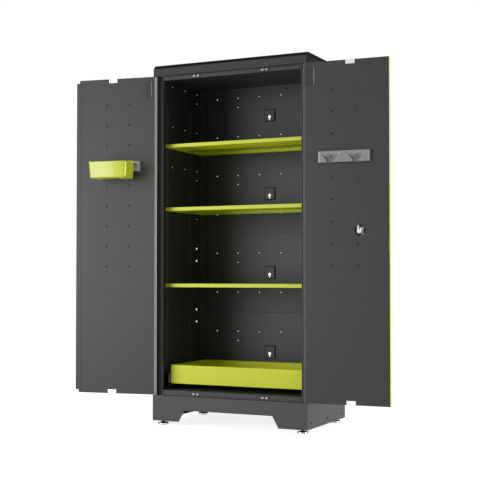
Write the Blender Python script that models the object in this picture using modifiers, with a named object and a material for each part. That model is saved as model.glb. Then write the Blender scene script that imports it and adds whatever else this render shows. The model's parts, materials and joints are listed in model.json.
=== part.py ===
# Steel garage cabinet: two doors, three shelves, a drawer on ball slides, levelling feet
#
# Units are metres, +Z is up, the front faces -Y. The cabinet stands with its doors open.
# Each piece is modelled where it sits in the cabinet, with x = 0 on the centre line, y = 0 on
# the front plane and z = 0 on the floor. The doors are modelled closed, about their pivots,
# and their empties turn them open.

import math
from itertools import product

import bmesh
import bpy
from mathutils import Matrix, Vector

# Overall sizes
WIDTH = 0.845
DEPTH = 0.518
HEIGHT = 1.829
SHEET = 0.001
CLEAR = 0.0003

# Base and levelling feet
BASE_LIFT = 0.021
BASE_HEIGHT = 0.127
BASE_FLANGE = 0.025
BASE_LIP = 0.040
CUT_HEIGHT = 0.0576
CUT_LEG_BOTTOM = 0.150
CUT_LEG_TOP = 0.183
FOOT_INSET = 0.040
FOOT_RADIUS = 0.028
FOOT_DOME = 0.012
FOOT_PROFILE = ((0.42, 0.96), (0.72, 0.78), (0.92, 0.50), (1.0, 0.20), (0.97, 0.0))
STUD_BEVEL = 0.001
STUD_RADIUS = 0.005
STUD_ABOVE_PLATE = 0.040
FOOT_HEX_RADIUS = 0.0105
FOOT_PLATE = 0.074
FOOT_PLATE_THICK = 0.0025
WELD_NUT_RADIUS = 0.0105
WELD_NUT_HEIGHT = 0.008
BASE_HOLE_HEIGHT = 0.049
BASE_HOLE_IN = 0.051

# Cap
CAP_HEIGHT = 0.056
CAP_CHAMFER = 0.019
CAP_LIP = 0.040
CAP_SIDE_LIP = 0.020

# Side panels and the frame round the opening
FRAME_SET_BACK = 0.027
SIDE_INSET = 0.005
STILE_WIDTH = 0.035
STILE_RETURN = 0.014
REAR_FLANGE = 0.035
TOP_RAIL_HEIGHT = 0.020
BOTTOM_RAIL_HEIGHT = 0.025
RAIL_RETURN = 0.012
DECK_FLANGE = 0.015
SIDE_HOLE_REAR_IN = 0.040
SIDE_HOLE_SPACING = 0.136
SIDE_HOLE_COLUMNS = 3
SIDE_HOLE_TOP_IN = 0.024
SIDE_HOLE_PITCH = 0.212
SIDE_HOLE_ROWS = 4
SIDE_EXTRA_DROP = 0.050
OVAL_HEIGHTS = (0.503, 0.569, 0.834, 0.901)
OVAL_SIZE = (0.014, 0.009)

# Shelf uprights
UPRIGHT_DEPTH = 0.016
UPRIGHT_WIDTH = 0.028
UPRIGHT_TOP_IN = 0.133
UPRIGHT_FRONT_IN = 0.108
UPRIGHT_REAR_IN = 0.126
FIRST_SLOT_HEIGHT = 0.311
SLOT_PITCH = 0.0654
SLOT_TOP_IN = 0.020
SLOT_SIZE = (0.005, 0.010)

# Back panels
PAN_DEPTH = 0.014
PAN_BOSS_DEPTH = 0.008
PAN_BOTTOM = 0.1345
PAN_COUNT = 4
PAN_BAND = 0.022
PAN_HOLE_X = (0.0635, 0.1905, 0.3175)
PAN_HOLE_Z = 0.106
BOSS_SIZE = (0.060, 0.064)
BOSS_CORNER = 0.008
KEYHOLE_RADIUS = 0.0085
KEYHOLE_DROP = 0.009
KEYHOLE_SLOT = (0.006, 0.018)
PANEL_HOLE_RADIUS = 0.00275

# Shelves and their clips
SHELF_GAP = 0.001
SHELF_FRONT = 0.085
SHELF_REAR_GAP = 0.009
SHELF_FLANGE = 0.0178
SHELF_RETURN = 0.012
SHELF_RIB_Y = (0.170, 0.243, 0.316)
SHELF_RIB_TOP = 0.036
SHELF_RIB_BOTTOM = 0.020
SHELF_RIB_DEPTH = 0.007
SHELF_SLOTS = {"lower": 6, "middle": 12, "top": 17}
SHELF_RISE = 0.009
CLIP_WIDTH = 0.018
CLIP_REACH = 0.020
CLIP_STEEL = 0.0015
CLIP_DROP = 0.016
NOTCH_WIDTH = 0.024

# Drawer, slides and spacer brackets
DRAWER_FRONT = 0.090
DRAWER_REAR = 0.478
DRAWER_BOTTOM = 0.202
DRAWER_HEIGHT = 0.0945
DRAWER_HEM = 0.009
SLIDE_THICK = 0.0124
SLIDE_HEIGHT = 0.0457
SLIDE_CENTRE = 0.2275
SLIDE_LENGTH = 0.400
SLIDE_STEEL = 0.0012
SLIDE_RUN = 0.0004
SLIDE_LIP = 0.0085
BRACKET_DEPTH = 0.0207
BRACKET_HEIGHT = 0.070
BRACKET_BOTTOM = 0.182

# Doors
DOOR_GAP_TOP = 0.003
DOOR_GAP_BOTTOM = 0.0037
DOOR_MEET = 0.005
DOOR_THICK = 0.020
PIVOT_IN = 0.0073
PIVOT_BACK = 0.0045
OPEN_LEFT = 171.0
OPEN_RIGHT = 183.0
CHANNEL_INNER_LEG = 0.009
CHANNEL_OUTER_LEG = 0.014
ASTRAGAL = 0.017
ASTRAGAL_START = 0.010
ASTRAGAL_SHORT = 0.015
DOOR_HOLE_IN = (0.143, 0.267)
DOOR_HOLE_TOP = 0.138
DOOR_HOLE_PITCH = 0.104
DOOR_HOLE_ROWS = 9
PIN_RADIUS = 0.0025
PIN_HOLE_RADIUS = 0.0028
PIN_REACH = 0.006
PIN_BLOCK = (0.020, 0.0146, 0.028)
BOSS_RADIUS = 0.0042
COVER_IN = 0.018
COVER_DROP = 0.023
COVER_SIZE = (0.038, 0.006, 0.082)

# Magnetic catches
CATCH_IN = 0.233
STRIKE_WIDTH = 0.045
STRIKE_LEG = 0.020
STRIKE_TAB = 0.013
STRIKE_STEEL = 0.0015
STRIKE_NOTCH = 0.009
MAGNET_CASE = (0.048, 0.024, 0.012)
MAGNET_PROUD = 0.003
POLE_SIZE = (0.012, 0.0016, 0.007)
POLE_SPREAD = 0.011

# Tool rails on the doors
RAIL_IN = 0.2035
RAIL_LENGTH = 0.254
RAIL_HEIGHT = 0.053
RAIL_DEPTH = 0.022
RAIL_DROP = 0.4305
RAIL_GROOVE_IN = 0.006
RAIL_GROOVE_WIDTH = 0.008
RAIL_GROOVE_DEPTH = 0.010
RAIL_GROOVE_END = 0.007
RAIL_BAND = 0.008
RAIL_POCKET_DEPTH = 0.012
RAIL_POCKET_TOP = 0.104
RAIL_POCKET_NECK = 0.040
RAIL_NECK_HEIGHT = 0.013
RAIL_POCKET_PITCH = 0.126
RAIL_BOSS = (0.016, 0.004, 0.018)
RAIL_BEVEL = 0.0015

# Hang-on bin
BIN_IN = 0.206
BIN_LENGTH = 0.210
BIN_DEPTH = 0.120
BIN_HEIGHT = 0.083
BIN_WALL = 0.0022
BIN_TAPER = 0.006
BIN_CORNER = 0.016
BIN_HOOK_LENGTH = 0.180
BIN_HOOK_DROP = 0.009
BIN_HOOK_WALL = 0.0020
BIN_HANG = 0.0105
BIN_FOOT = (0.012, 0.060, 0.003)

# Lock in the right door
LOCK_IN = 0.278
LOCK_DROP = 0.804
LOCK_WINDOW = 0.026
BARREL_RADIUS = 0.0105
BARREL_BORE = 0.0063
BARREL_HOLE = 0.0108
BARREL_INSIDE = 0.007
BARREL_NUT_RADIUS = 0.016
BARREL_NUT_THICK = 0.004
ESCUTCHEON_RADIUS = 0.026
ESCUTCHEON_THICK = 0.005
SPINDLE_RADIUS = 0.006
HUB_RADIUS = 0.018
HUB_THICK = 0.010
WING_SIZE = (0.014, 0.014, 0.072)
PLUG_RADIUS = 0.005
PLUG_DEPTH = 0.012
PLUG_SLOT = (0.0016, 0.004, 0.006)
CAM_RADIUS = 0.013
CAM_WIDTH = 0.012
CAM_THICK = 0.003
CAM_HUB_RADIUS = 0.004
CAM_PIN_RADIUS = 0.002
CAM_PIN_CLEAR = 0.0006
CAM_REST_TILT = 45.0
ROD_WIDTH = 0.010
ROD_THICK = 0.003
ROD_END_WALL = 0.0022
ROD_TIP_IN = 0.004
ROD_HOLE_CLEAR = 0.0012
GUIDE_SIZE = (0.020, 0.020)
GUIDE_FROM_TIP = 0.060

# Facets of round pieces
ROUND = 20
SMALL_ROUND = 12
FOOT_ROUND = 16
HOLE_ROUND = 6

# Shared by the modelling helpers: a bevel's round profile, and how far a cutter runs past
# the sheet it cuts
BEVEL_PROFILE = 0.5
OVERCUT = 0.010

# Levels that follow from the sizes above
HALF = WIDTH / 2
BASE_TOP = BASE_LIFT + BASE_HEIGHT
CAP_BOTTOM = HEIGHT - CAP_HEIGHT
PLATE_BOTTOM = BASE_LIFT + SHEET / 2
PLATE_TOP = PLATE_BOTTOM + FOOT_PLATE_THICK
CARCASS_BOTTOM = BASE_TOP + CLEAR
CARCASS_TOP = CAP_BOTTOM - CLEAR
CARCASS_REAR = DEPTH - PAN_DEPTH - CLEAR
SIDE_FACE = HALF - SIDE_INSET
WALL_INSIDE = SIDE_FACE - SHEET
DECK_FRONT = FRAME_SET_BACK + STILE_RETURN + CLEAR
DOOR_TOP = CAP_BOTTOM - DOOR_GAP_TOP
DOOR_BOTTOM = BASE_TOP + DOOR_GAP_BOTTOM
DOOR_WIDTH = HALF - DOOR_MEET / 2
UPRIGHT_FACE = WALL_INSIDE - UPRIGHT_DEPTH
UPRIGHT_TOP = CARCASS_TOP - UPRIGHT_TOP_IN
UPRIGHT_Y = (UPRIGHT_FRONT_IN, CARCASS_REAR - UPRIGHT_REAR_IN)
SLOT_COUNT = 1 + int((UPRIGHT_TOP - SLOT_TOP_IN - FIRST_SLOT_HEIGHT) / SLOT_PITCH)
SHELF_REAR = CARCASS_REAR - SHELF_REAR_GAP
SHELF_HALF = UPRIGHT_FACE - SHELF_GAP
BRACKET_FACE = UPRIGHT_FACE - BRACKET_DEPTH
DRAWER_HALF = BRACKET_FACE - SLIDE_THICK - CLEAR * 2
BRACKET_TOP = BRACKET_BOTTOM + BRACKET_HEIGHT
LOCK_HEIGHT = DOOR_TOP - LOCK_DROP
BACK_PITCH = (HEIGHT - PAN_BOTTOM) / PAN_COUNT


# Scene, collections and materials

for old in list(bpy.data.objects):
    bpy.data.objects.remove(old, do_unlink=True)


def collection(name):
    """Return the scene collection of this name, making it if it is missing."""
    found = bpy.data.collections.get(name)
    if found is None:
        found = bpy.data.collections.new(name)
        bpy.context.scene.collection.children.link(found)
    return found


PARTS = collection("garage_cabinet")
CUTTERS = collection("cutters")


def finish(name, colour, roughness, metallic=0.0):
    """A Principled material with one colour, roughness and metallic value."""
    material = bpy.data.materials.new(name)
    material.use_nodes = True
    shader = material.node_tree.nodes["Principled BSDF"]
    shader.inputs["Base Color"].default_value = (*colour, 1.0)
    shader.inputs["Roughness"].default_value = roughness
    shader.inputs["Metallic"].default_value = metallic
    return material


CHARCOAL = finish("charcoal_paint", (0.075, 0.077, 0.080), 0.55)
LIME = finish("lime_paint", (0.600, 0.680, 0.060), 0.42)
LIME_PLASTIC = finish("lime_plastic", (0.560, 0.660, 0.050), 0.35)
GREY_PLASTIC = finish("grey_plastic", (0.180, 0.180, 0.185), 0.40)
BLACK_PLASTIC = finish("black_plastic", (0.020, 0.020, 0.022), 0.45)
NYLON = finish("nylon", (0.700, 0.690, 0.650), 0.50)
ZINC = finish("zinc", (0.620, 0.620, 0.640), 0.30, 1.0)
CHROME = finish("chrome", (0.780, 0.780, 0.790), 0.12, 1.0)


def empty(name, location, parent, angle=0.0):
    """An empty that carries pieces and stands on a joint's axis."""
    holder = bpy.data.objects.new(name, None)
    holder.empty_display_size = 0.05
    holder.location = location
    holder.rotation_euler = (0.0, 0.0, math.radians(angle))
    holder.parent = parent
    CUTTERS.objects.link(holder)
    return holder


ROOT = empty("cabinet_root", (0.0, 0.0, 0.0), None)


# Modelling helpers

def place(name, bm, material, parent):
    """Turn a bmesh into an object. Without a material it is a tool for cutting or joining."""
    mesh = bpy.data.meshes.new(name)
    bm.to_mesh(mesh)
    bm.free()
    thing = bpy.data.objects.new(name, mesh)
    thing.parent = parent
    if material is None:
        thing.hide_render = True
        thing.display_type = "WIRE"
        CUTTERS.objects.link(thing)
    else:
        mesh.materials.append(material)
        PARTS.objects.link(thing)
    return thing


def add_box(bm, low, high):
    """Add a box between two corners, given in any order."""
    spans = [sorted(pair) for pair in zip(low, high)]
    centre = [sum(span) / 2 for span in spans]
    size = [span[1] - span[0] for span in spans]
    made = bmesh.ops.create_cube(bm, size=1.0)
    bmesh.ops.scale(bm, vec=size, verts=made["verts"])
    bmesh.ops.translate(bm, vec=centre, verts=made["verts"])
    return made["verts"]


def box(name, low, high, material=None, parent=ROOT):
    bm = bmesh.new()
    add_box(bm, low, high)
    return place(name, bm, material, parent)


def boxes(name, corners, material=None, parent=ROOT):
    """Several separate boxes in one object."""
    bm = bmesh.new()
    for low, high in corners:
        add_box(bm, low, high)
    return place(name, bm, material, parent)


AXIS_TURNS = {
    "X": Matrix.Rotation(math.pi / 2, 4, "Y"),
    "Y": Matrix.Rotation(-math.pi / 2, 4, "X"),
    "Z": Matrix.Identity(4),
}


def add_rod(bm, centre, radius, length, axis, sides, turn=0.0):
    """Add a capped cylinder or prism of some number of sides, centred on a point."""
    spin = Matrix.Rotation(turn, 4, "Z")
    matrix = Matrix.Translation(centre) @ AXIS_TURNS[axis] @ spin
    bmesh.ops.create_cone(
        bm, cap_ends=True, segments=sides, radius1=radius, radius2=radius,
        depth=length, matrix=matrix,
    )


def rods(name, centres, radius, length, axis, sides, material=None, parent=ROOT):
    bm = bmesh.new()
    for centre in centres:
        add_rod(bm, centre, radius, length, axis, sides, math.pi / sides)
    return place(name, bm, material, parent)


def solidify(thing, thickness):
    """Give an open sheet its thickness, on the back of its faces."""
    modifier = thing.modifiers.new("thickness", "SOLIDIFY")
    modifier.thickness = thickness
    modifier.offset = -1.0
    modifier.use_even_offset = True
    return thing



def axis_order(axis):
    """Indices of the two axes across a direction, and of the direction itself."""
    along = "XYZ".index(axis)
    return (along + 1) % 3, (along + 2) % 3, along


def folded(name, points, span, axis, material=None, parent=ROOT, thickness=SHEET):
    """Sheet metal folded along a line of points and drawn out along an axis.

    The points are in the plane across the axis: (y, z) for X, (z, x) for Y and (x, y) for Z.
    They run along the outer face, with the metal on the left of the way they go.
    """
    order = axis_order(axis)
    bm = bmesh.new()
    rows = []
    for along in span:
        row = []
        for first, second in points:
            spot = [0.0, 0.0, 0.0]
            spot[order[0]] = first
            spot[order[1]] = second
            spot[order[2]] = along
            row.append(bm.verts.new(spot))
        rows.append(row)
    start, end = rows
    for i in range(len(points) - 1):
        bm.faces.new((start[i], start[i + 1], end[i + 1], end[i]))
    return solidify(place(name, bm, material, parent), thickness)


def prism(name, points, span, axis, material=None, parent=ROOT):
    """A flat outline drawn out along an axis, with the points as in folded()."""
    order = axis_order(axis)
    bm = bmesh.new()
    corners = []
    for first, second in points:
        spot = [0.0, 0.0, 0.0]
        spot[order[0]] = first
        spot[order[1]] = second
        spot[order[2]] = min(span)
        corners.append(bm.verts.new(spot))
    face = bm.faces.new(corners)
    grown = bmesh.ops.extrude_face_region(bm, geom=[face])
    moved = [item for item in grown["geom"] if isinstance(item, bmesh.types.BMVert)]
    shift = [0.0, 0.0, 0.0]
    shift[order[2]] = max(span) - min(span)
    bmesh.ops.translate(bm, vec=shift, verts=moved)
    bmesh.ops.recalc_face_normals(bm, faces=bm.faces)
    return place(name, bm, material, parent)


def mirrored(points, side):
    """Mirror a line of (x, y) points for the right-hand side, keeping the metal inside."""
    if side < 0:
        return list(points)
    return [(-first, second) for first, second in reversed(points)]


def mirrored_zx(points, side):
    """The same for points given as (z, x)."""
    if side < 0:
        return list(points)
    return [(first, -second) for first, second in reversed(points)]


def open_box(name, low, high, open_sides, material=None, parent=ROOT, thickness=SHEET, hem=0.0):
    """A tray: a box without its open sides, such as "+Z", made of sheet.

    A hem turns the rim of the one open side inwards by its width.
    """
    bm = bmesh.new()
    add_box(bm, low, high)
    bm.normal_update()
    gone = []
    for side in open_sides:
        along = "XYZ".index(side[1])
        way = 1 if side[0] == "+" else -1
        gone += [face for face in bm.faces if round(face.normal[along]) == way]
    bmesh.ops.delete(bm, geom=gone, context="FACES")
    if hem:
        rim = [edge for edge in bm.edges if edge.is_boundary]
        grown = bmesh.ops.extrude_edge_only(bm, edges=rim)["geom"]
        turned = [item for item in grown if isinstance(item, bmesh.types.BMVert)]
        middle = sum((vert.co for vert in turned), Vector()) / len(turned)
        for vert in turned:
            for i in range(2):
                vert.co[i] -= math.copysign(hem, vert.co[i] - middle[i])
    return solidify(place(name, bm, material, parent), thickness)


def boolean(target, tool, operation):
    modifier = target.modifiers.new(operation.lower(), "BOOLEAN")
    modifier.operation = operation
    modifier.solver = "EXACT"
    modifier.object = tool


def cut(target, *tools):
    for tool in tools:
        boolean(target, tool, "DIFFERENCE")
    return target


def join(target, *tools):
    for tool in tools:
        boolean(target, tool, "UNION")
    return target


def turned(name, profile, location, material, parent, steps=ROUND):
    """A round piece: a profile of (radius, height) points, top to bottom, spun about Z."""
    bm = bmesh.new()
    verts = [bm.verts.new((radius, 0.0, height)) for radius, height in profile]
    for upper, lower in zip(verts, verts[1:]):
        bm.edges.new((upper, lower))
    thing = place(name, bm, material, parent)
    thing.location = location
    screw = thing.modifiers.new("spin", "SCREW")
    screw.steps = steps
    screw.render_steps = steps
    screw.use_merge_vertices = True
    screw.merge_threshold = 0.00005
    screw.use_smooth_shade = True
    return thing


def bevel(thing, width, segments=2):
    modifier = thing.modifiers.new("edges", "BEVEL")
    modifier.width = width
    modifier.segments = segments
    modifier.limit_method = "ANGLE"
    modifier.angle_limit = math.radians(40)
    return thing


def side_name(side):
    return "left" if side < 0 else "right"


SIDES = (-1, 1)


# Base: four panels of folded sheet round an open underside

def make_base():
    front = folded(
        "base_front",
        [(BASE_LIP, BASE_TOP), (0.0, BASE_TOP), (0.0, BASE_LIFT)],
        (-HALF, HALF), "X", CHARCOAL,
    )
    cut_top = BASE_LIFT + CUT_HEIGHT
    inner_bottom = HALF - CUT_LEG_BOTTOM
    inner_top = HALF - CUT_LEG_TOP
    slope = (inner_bottom - inner_top) / CUT_HEIGHT
    below = BASE_LIFT - OVERCUT
    inner_below = inner_bottom + slope * OVERCUT
    arch = prism(
        "base_cut_out",
        [(cut_top, inner_top), (cut_top, -inner_top), (below, -inner_below), (below, inner_below)],
        (-OVERCUT, BASE_LIP / 2), "Y",
    )
    boss_low = BASE_TOP - SHEET / 2
    boss_high = BASE_TOP + DOOR_GAP_BOTTOM - CLEAR
    bosses = rods(
        "pivot_bosses",
        [(side * (HALF - PIVOT_IN), PIVOT_BACK, (boss_low + boss_high) / 2) for side in SIDES],
        BOSS_RADIUS, boss_high - boss_low, "Z", ROUND,
    )
    join(front, bosses)
    lower_rod = rod_slot("base_rod_slot", -1, BASE_TOP)
    cut(front, arch, lower_rod, pin_holes("base_pin_holes", BASE_TOP))

    rear_top = PAN_BOTTOM - CLEAR
    rear_flange = PAN_DEPTH - CLEAR
    folded(
        "base_rear",
        [(DEPTH, BASE_LIFT), (DEPTH, rear_top), (DEPTH - rear_flange, rear_top)],
        (-HALF, HALF), "X", CHARCOAL,
    )

    for side in SIDES:
        outline = [
            (BASE_LIFT, BASE_FLANGE - HALF), (BASE_LIFT, -HALF),
            (BASE_TOP, -HALF), (BASE_TOP, BASE_FLANGE - HALF),
        ]
        name = "base_side_" + side_name(side)
        wall = folded(
            name, mirrored_zx(outline, side),
            (SHEET + CLEAR, DEPTH - SHEET - CLEAR), "Y", CHARCOAL,
        )
        plates = boxes(name + "_foot_plates", [
            ((side * (HALF - SHEET / 2), SHEET + CLEAR * 2, PLATE_BOTTOM),
             (side * (HALF - FOOT_PLATE), FOOT_PLATE, PLATE_TOP)),
            ((side * (HALF - SHEET / 2), DEPTH - FOOT_PLATE, PLATE_BOTTOM),
             (side * (HALF - FOOT_PLATE), DEPTH - SHEET - CLEAR * 2, PLATE_TOP)),
        ])
        foot_x = side * (HALF - FOOT_INSET)
        centres = [
            (foot_x, y, PLATE_TOP + WELD_NUT_HEIGHT / 2 - SHEET / 2)
            for y in (FOOT_INSET, DEPTH - FOOT_INSET)
        ]
        nuts = rods(
            name + "_weld_nuts", centres, WELD_NUT_RADIUS, WELD_NUT_HEIGHT + SHEET, "Z", 6,
        )
        bores = rods(
            name + "_foot_bores", centres, STUD_RADIUS + CLEAR, FOOT_PLATE, "Z", SMALL_ROUND,
        )
        holes = rods(
            name + "_holes",
            [(side * HALF, y, BASE_HOLE_HEIGHT) for y in (BASE_HOLE_IN, DEPTH / 2, DEPTH - BASE_HOLE_IN)],
            PANEL_HOLE_RADIUS, 4 * SHEET, "X", HOLE_ROUND,
        )
        join(wall, plates, nuts)
        cut(wall, bores, holes)
        front_room = box(
            name + "_front_room",
            (-HALF - CLEAR, -CLEAR, BASE_TOP - SHEET - CLEAR),
            (HALF + CLEAR, BASE_LIP + CLEAR, BASE_TOP + CLEAR),
        )
        rear_room = box(
            name + "_rear_room",
            (-HALF - CLEAR, CARCASS_REAR, rear_top - SHEET - CLEAR),
            (HALF + CLEAR, DEPTH + CLEAR, BASE_TOP + CLEAR),
        )
        cut(wall, front_room, rear_room)


def make_feet():
    """The four screw-in feet that stand on the floor."""
    stud_top = PLATE_TOP + STUD_ABOVE_PLATE
    hex_top = PLATE_BOTTOM - CLEAR
    profile = [
        (0.0, stud_top), (STUD_RADIUS - STUD_BEVEL, stud_top),
        (STUD_RADIUS, stud_top - STUD_BEVEL), (STUD_RADIUS, FOOT_DOME),
    ]
    profile += [(FOOT_RADIUS * out, FOOT_DOME * up) for out, up in FOOT_PROFILE]
    profile.append((0.0, 0.0))
    ends = (("front", FOOT_INSET), ("rear", DEPTH - FOOT_INSET))
    for side, (end, y) in product(SIDES, ends):
        x = side * (HALF - FOOT_INSET)
        name = "foot_" + end + "_" + side_name(side)
        foot = turned(name, profile, (x, y, 0.0), CHROME, ROOT, FOOT_ROUND)
        height = hex_top - FOOT_DOME + 0.002
        hexagon = rods(
            name + "_hex", [(x, y, hex_top - height / 2)], FOOT_HEX_RADIUS, height, "Z", 6,
        )
        join(foot, hexagon)


# Carcass: side panels, rails, decks and cap

def make_side_panels():
    for side in SIDES:
        outline = [
            (REAR_FLANGE - SIDE_FACE, CARCASS_REAR), (-SIDE_FACE, CARCASS_REAR),
            (-SIDE_FACE, FRAME_SET_BACK), (STILE_WIDTH - SIDE_FACE, FRAME_SET_BACK),
            (STILE_WIDTH - SIDE_FACE, FRAME_SET_BACK + STILE_RETURN),
        ]
        name = "side_panel_" + side_name(side)
        panel = folded(
            name, mirrored(outline, side), (CARCASS_BOTTOM, CARCASS_TOP), "Z", CHARCOAL,
        )
        rear_column = CARCASS_REAR - SIDE_HOLE_REAR_IN
        centres = []
        for row in range(SIDE_HOLE_ROWS):
            height = CARCASS_TOP - SIDE_HOLE_TOP_IN - row * SIDE_HOLE_PITCH
            for column in range(SIDE_HOLE_COLUMNS):
                centres.append((
                    side * SIDE_FACE, rear_column - column * SIDE_HOLE_SPACING, height,
                ))
            centres.append((side * SIDE_FACE, rear_column, height - SIDE_EXTRA_DROP))
        holes = rods(name + "_holes", centres, PANEL_HOLE_RADIUS, 4 * SHEET, "X", HOLE_ROUND)
        wide, high = OVAL_SIZE
        slots = boxes(name + "_slots", [
            (
                (side * (SIDE_FACE - 2 * SHEET), rear_column - wide / 2, height - high / 2),
                (side * (SIDE_FACE + SHEET), rear_column + wide / 2, height + high / 2),
            )
            for height in OVAL_HEIGHTS
        ])
        cut(panel, holes, slots)


def make_uprights():
    """Slotted channels welded to the side walls, each with a bent clip under every shelf."""
    wide, tall = SLOT_SIZE
    root_x = CLEAR - WALL_INSIDE
    for side, (y, end) in product(SIDES, zip(UPRIGHT_Y, ("front", "rear"))):
        low = y - UPRIGHT_WIDTH / 2
        high = y + UPRIGHT_WIDTH / 2
        outline = [
            (root_x, low), (-UPRIGHT_FACE, low), (-UPRIGHT_FACE, high), (root_x, high),
        ]
        name = "upright_" + end + "_" + side_name(side)
        upright = folded(
            name, mirrored(outline, side), (BRACKET_TOP + CLEAR, UPRIGHT_TOP), "Z", CHARCOAL,
        )
        slots = boxes(name + "_slots", [
            ((side * (UPRIGHT_FACE - 2 * SHEET), y - wide / 2, slot_height(i) - tall / 2),
             (side * (UPRIGHT_FACE + 3 * SHEET), y + wide / 2, slot_height(i) + tall / 2))
            for i in range(SLOT_COUNT)
        ])
        cut(upright, slots)
        plates = []
        arms = []
        for slot in SHELF_SLOTS.values():
            clip_top = shelf_top(slot) - SHEET - CLEAR
            low_y = y - CLIP_WIDTH / 2
            high_y = y + CLIP_WIDTH / 2
            plates.append((
                (side * (UPRIGHT_FACE + SHEET / 2), low_y, clip_top - CLIP_DROP),
                (side * (UPRIGHT_FACE - CLIP_STEEL), high_y, clip_top),
            ))
            arms.append((
                (side * (UPRIGHT_FACE - CLIP_STEEL / 2), low_y, clip_top - CLIP_STEEL),
                (side * (UPRIGHT_FACE - CLIP_REACH), high_y, clip_top),
            ))
        clips = boxes(name + "_clips", plates)
        join(clips, boxes(name + "_clip_arms", arms))
        join(upright, clips)


def slot_height(index):
    return FIRST_SLOT_HEIGHT + index * SLOT_PITCH


def make_decks():
    """Floor and ceiling. Each is one sheet, folded at the front into the rail of the frame."""
    half_opening = SIDE_FACE - STILE_WIDTH - CLEAR
    side_edge = WALL_INSIDE - CLEAR
    rear_edge = CARCASS_REAR - SHEET - CLEAR
    front = FRAME_SET_BACK
    floor_top = BASE_TOP + BOTTOM_RAIL_HEIGHT
    ceiling_low = CAP_BOTTOM - TOP_RAIL_HEIGHT
    floor = [
        (rear_edge, floor_top - DECK_FLANGE), (rear_edge, floor_top), (front, floor_top),
        (front, CARCASS_BOTTOM), (front + RAIL_RETURN, CARCASS_BOTTOM),
    ]
    ceiling = [
        (rear_edge, CARCASS_TOP - DECK_FLANGE), (rear_edge, CARCASS_TOP), (front, CARCASS_TOP),
        (front, ceiling_low), (front + RAIL_RETURN, ceiling_low),
    ]
    for name, outline, top, end in (
        ("floor_panel", floor, floor_top, "bottom"),
        ("ceiling_panel", ceiling, CARCASS_TOP, "top"),
    ):
        deck = folded(name, outline, (-side_edge, side_edge), "X", CHARCOAL)
        flanges = boxes(name + "_flanges", [
            ((side * (side_edge - CLEAR - SHEET), DECK_FRONT + SHEET, top - DECK_FLANGE + CLEAR),
             (side * (side_edge - CLEAR), rear_edge - SHEET / 2, top - SHEET / 2))
            for side in SIDES
        ])
        corners = boxes(name + "_corners", [
            ((side * half_opening, front - SHEET, top - STILE_WIDTH),
             (side * HALF, DECK_FRONT, top + SHEET))
            for side in SIDES
        ])
        join(deck, flanges)
        cut(deck, corners, catch_windows(name + "_windows", catch_height(end)))


def chamfered_block(name, low, high, chamfer, material=None):
    """A block whose front top edge is cut at 45 degrees."""
    bm = bmesh.new()
    add_box(bm, low, high)
    middle_y = (low[1] + high[1]) / 2
    middle_z = (low[2] + high[2]) / 2
    edges = [
        edge for edge in bm.edges
        if all(vert.co.z > middle_z and vert.co.y < middle_y for vert in edge.verts)
    ]
    bmesh.ops.bevel(
        bm, geom=edges, offset=chamfer, segments=1, profile=BEVEL_PROFILE, affect="EDGES",
        offset_type="OFFSET",
    )
    bmesh.ops.recalc_face_normals(bm, faces=bm.faces)
    return place(name, bm, material, ROOT)


def make_cap():
    """The cap is a shell with a lip under its front and sides, open below."""
    cap = chamfered_block(
        "cap", (-HALF, 0.0, CAP_BOTTOM), (HALF, CARCASS_REAR, HEIGHT), CAP_CHAMFER, CHARCOAL,
    )
    inner_chamfer = CAP_CHAMFER - (2 - math.sqrt(2)) * SHEET
    hollow = chamfered_block(
        "cap_hollow", (SHEET - HALF, SHEET, CAP_BOTTOM + SHEET),
        (HALF - SHEET, CARCASS_REAR - SHEET, HEIGHT - SHEET), inner_chamfer,
    )
    mouth = box(
        "cap_mouth", (CAP_SIDE_LIP - HALF, CAP_LIP, CAP_BOTTOM - SHEET),
        (HALF - CAP_SIDE_LIP, CARCASS_REAR - SHEET, CAP_BOTTOM + 2 * SHEET),
    )
    upper_rod = rod_slot("cap_rod_slot", 1, CAP_BOTTOM)
    cut(cap, hollow, mouth, upper_rod, pin_holes("cap_pin_holes", CAP_BOTTOM))


def pin_holes(name, height):
    """Holes on the two door pivots, through the sheet at some height."""
    centres = [(side * (HALF - PIVOT_IN), PIVOT_BACK, height) for side in SIDES]
    return rods(name, centres, PIN_HOLE_RADIUS, 4 * DOOR_GAP_BOTTOM, "Z", SMALL_ROUND)


# Back: four pressed panels, each tucked in front of the one above it

def rounded_square(name, centre_x, centre_z, size, y_low, y_high, corner):
    bm = bmesh.new()
    wide, high = size
    add_box(
        bm, (centre_x - wide / 2, y_low, centre_z - high / 2),
        (centre_x + wide / 2, y_high, centre_z + high / 2),
    )
    uprights = []
    for edge in bm.edges:
        way = edge.verts[1].co - edge.verts[0].co
        if abs(way.y) > max(abs(way.x), abs(way.z)):
            uprights.append(edge)
    bmesh.ops.bevel(
        bm, geom=uprights, offset=corner, segments=2, profile=BEVEL_PROFILE, affect="EDGES",
    )
    return place(name, bm, None, ROOT)


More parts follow.
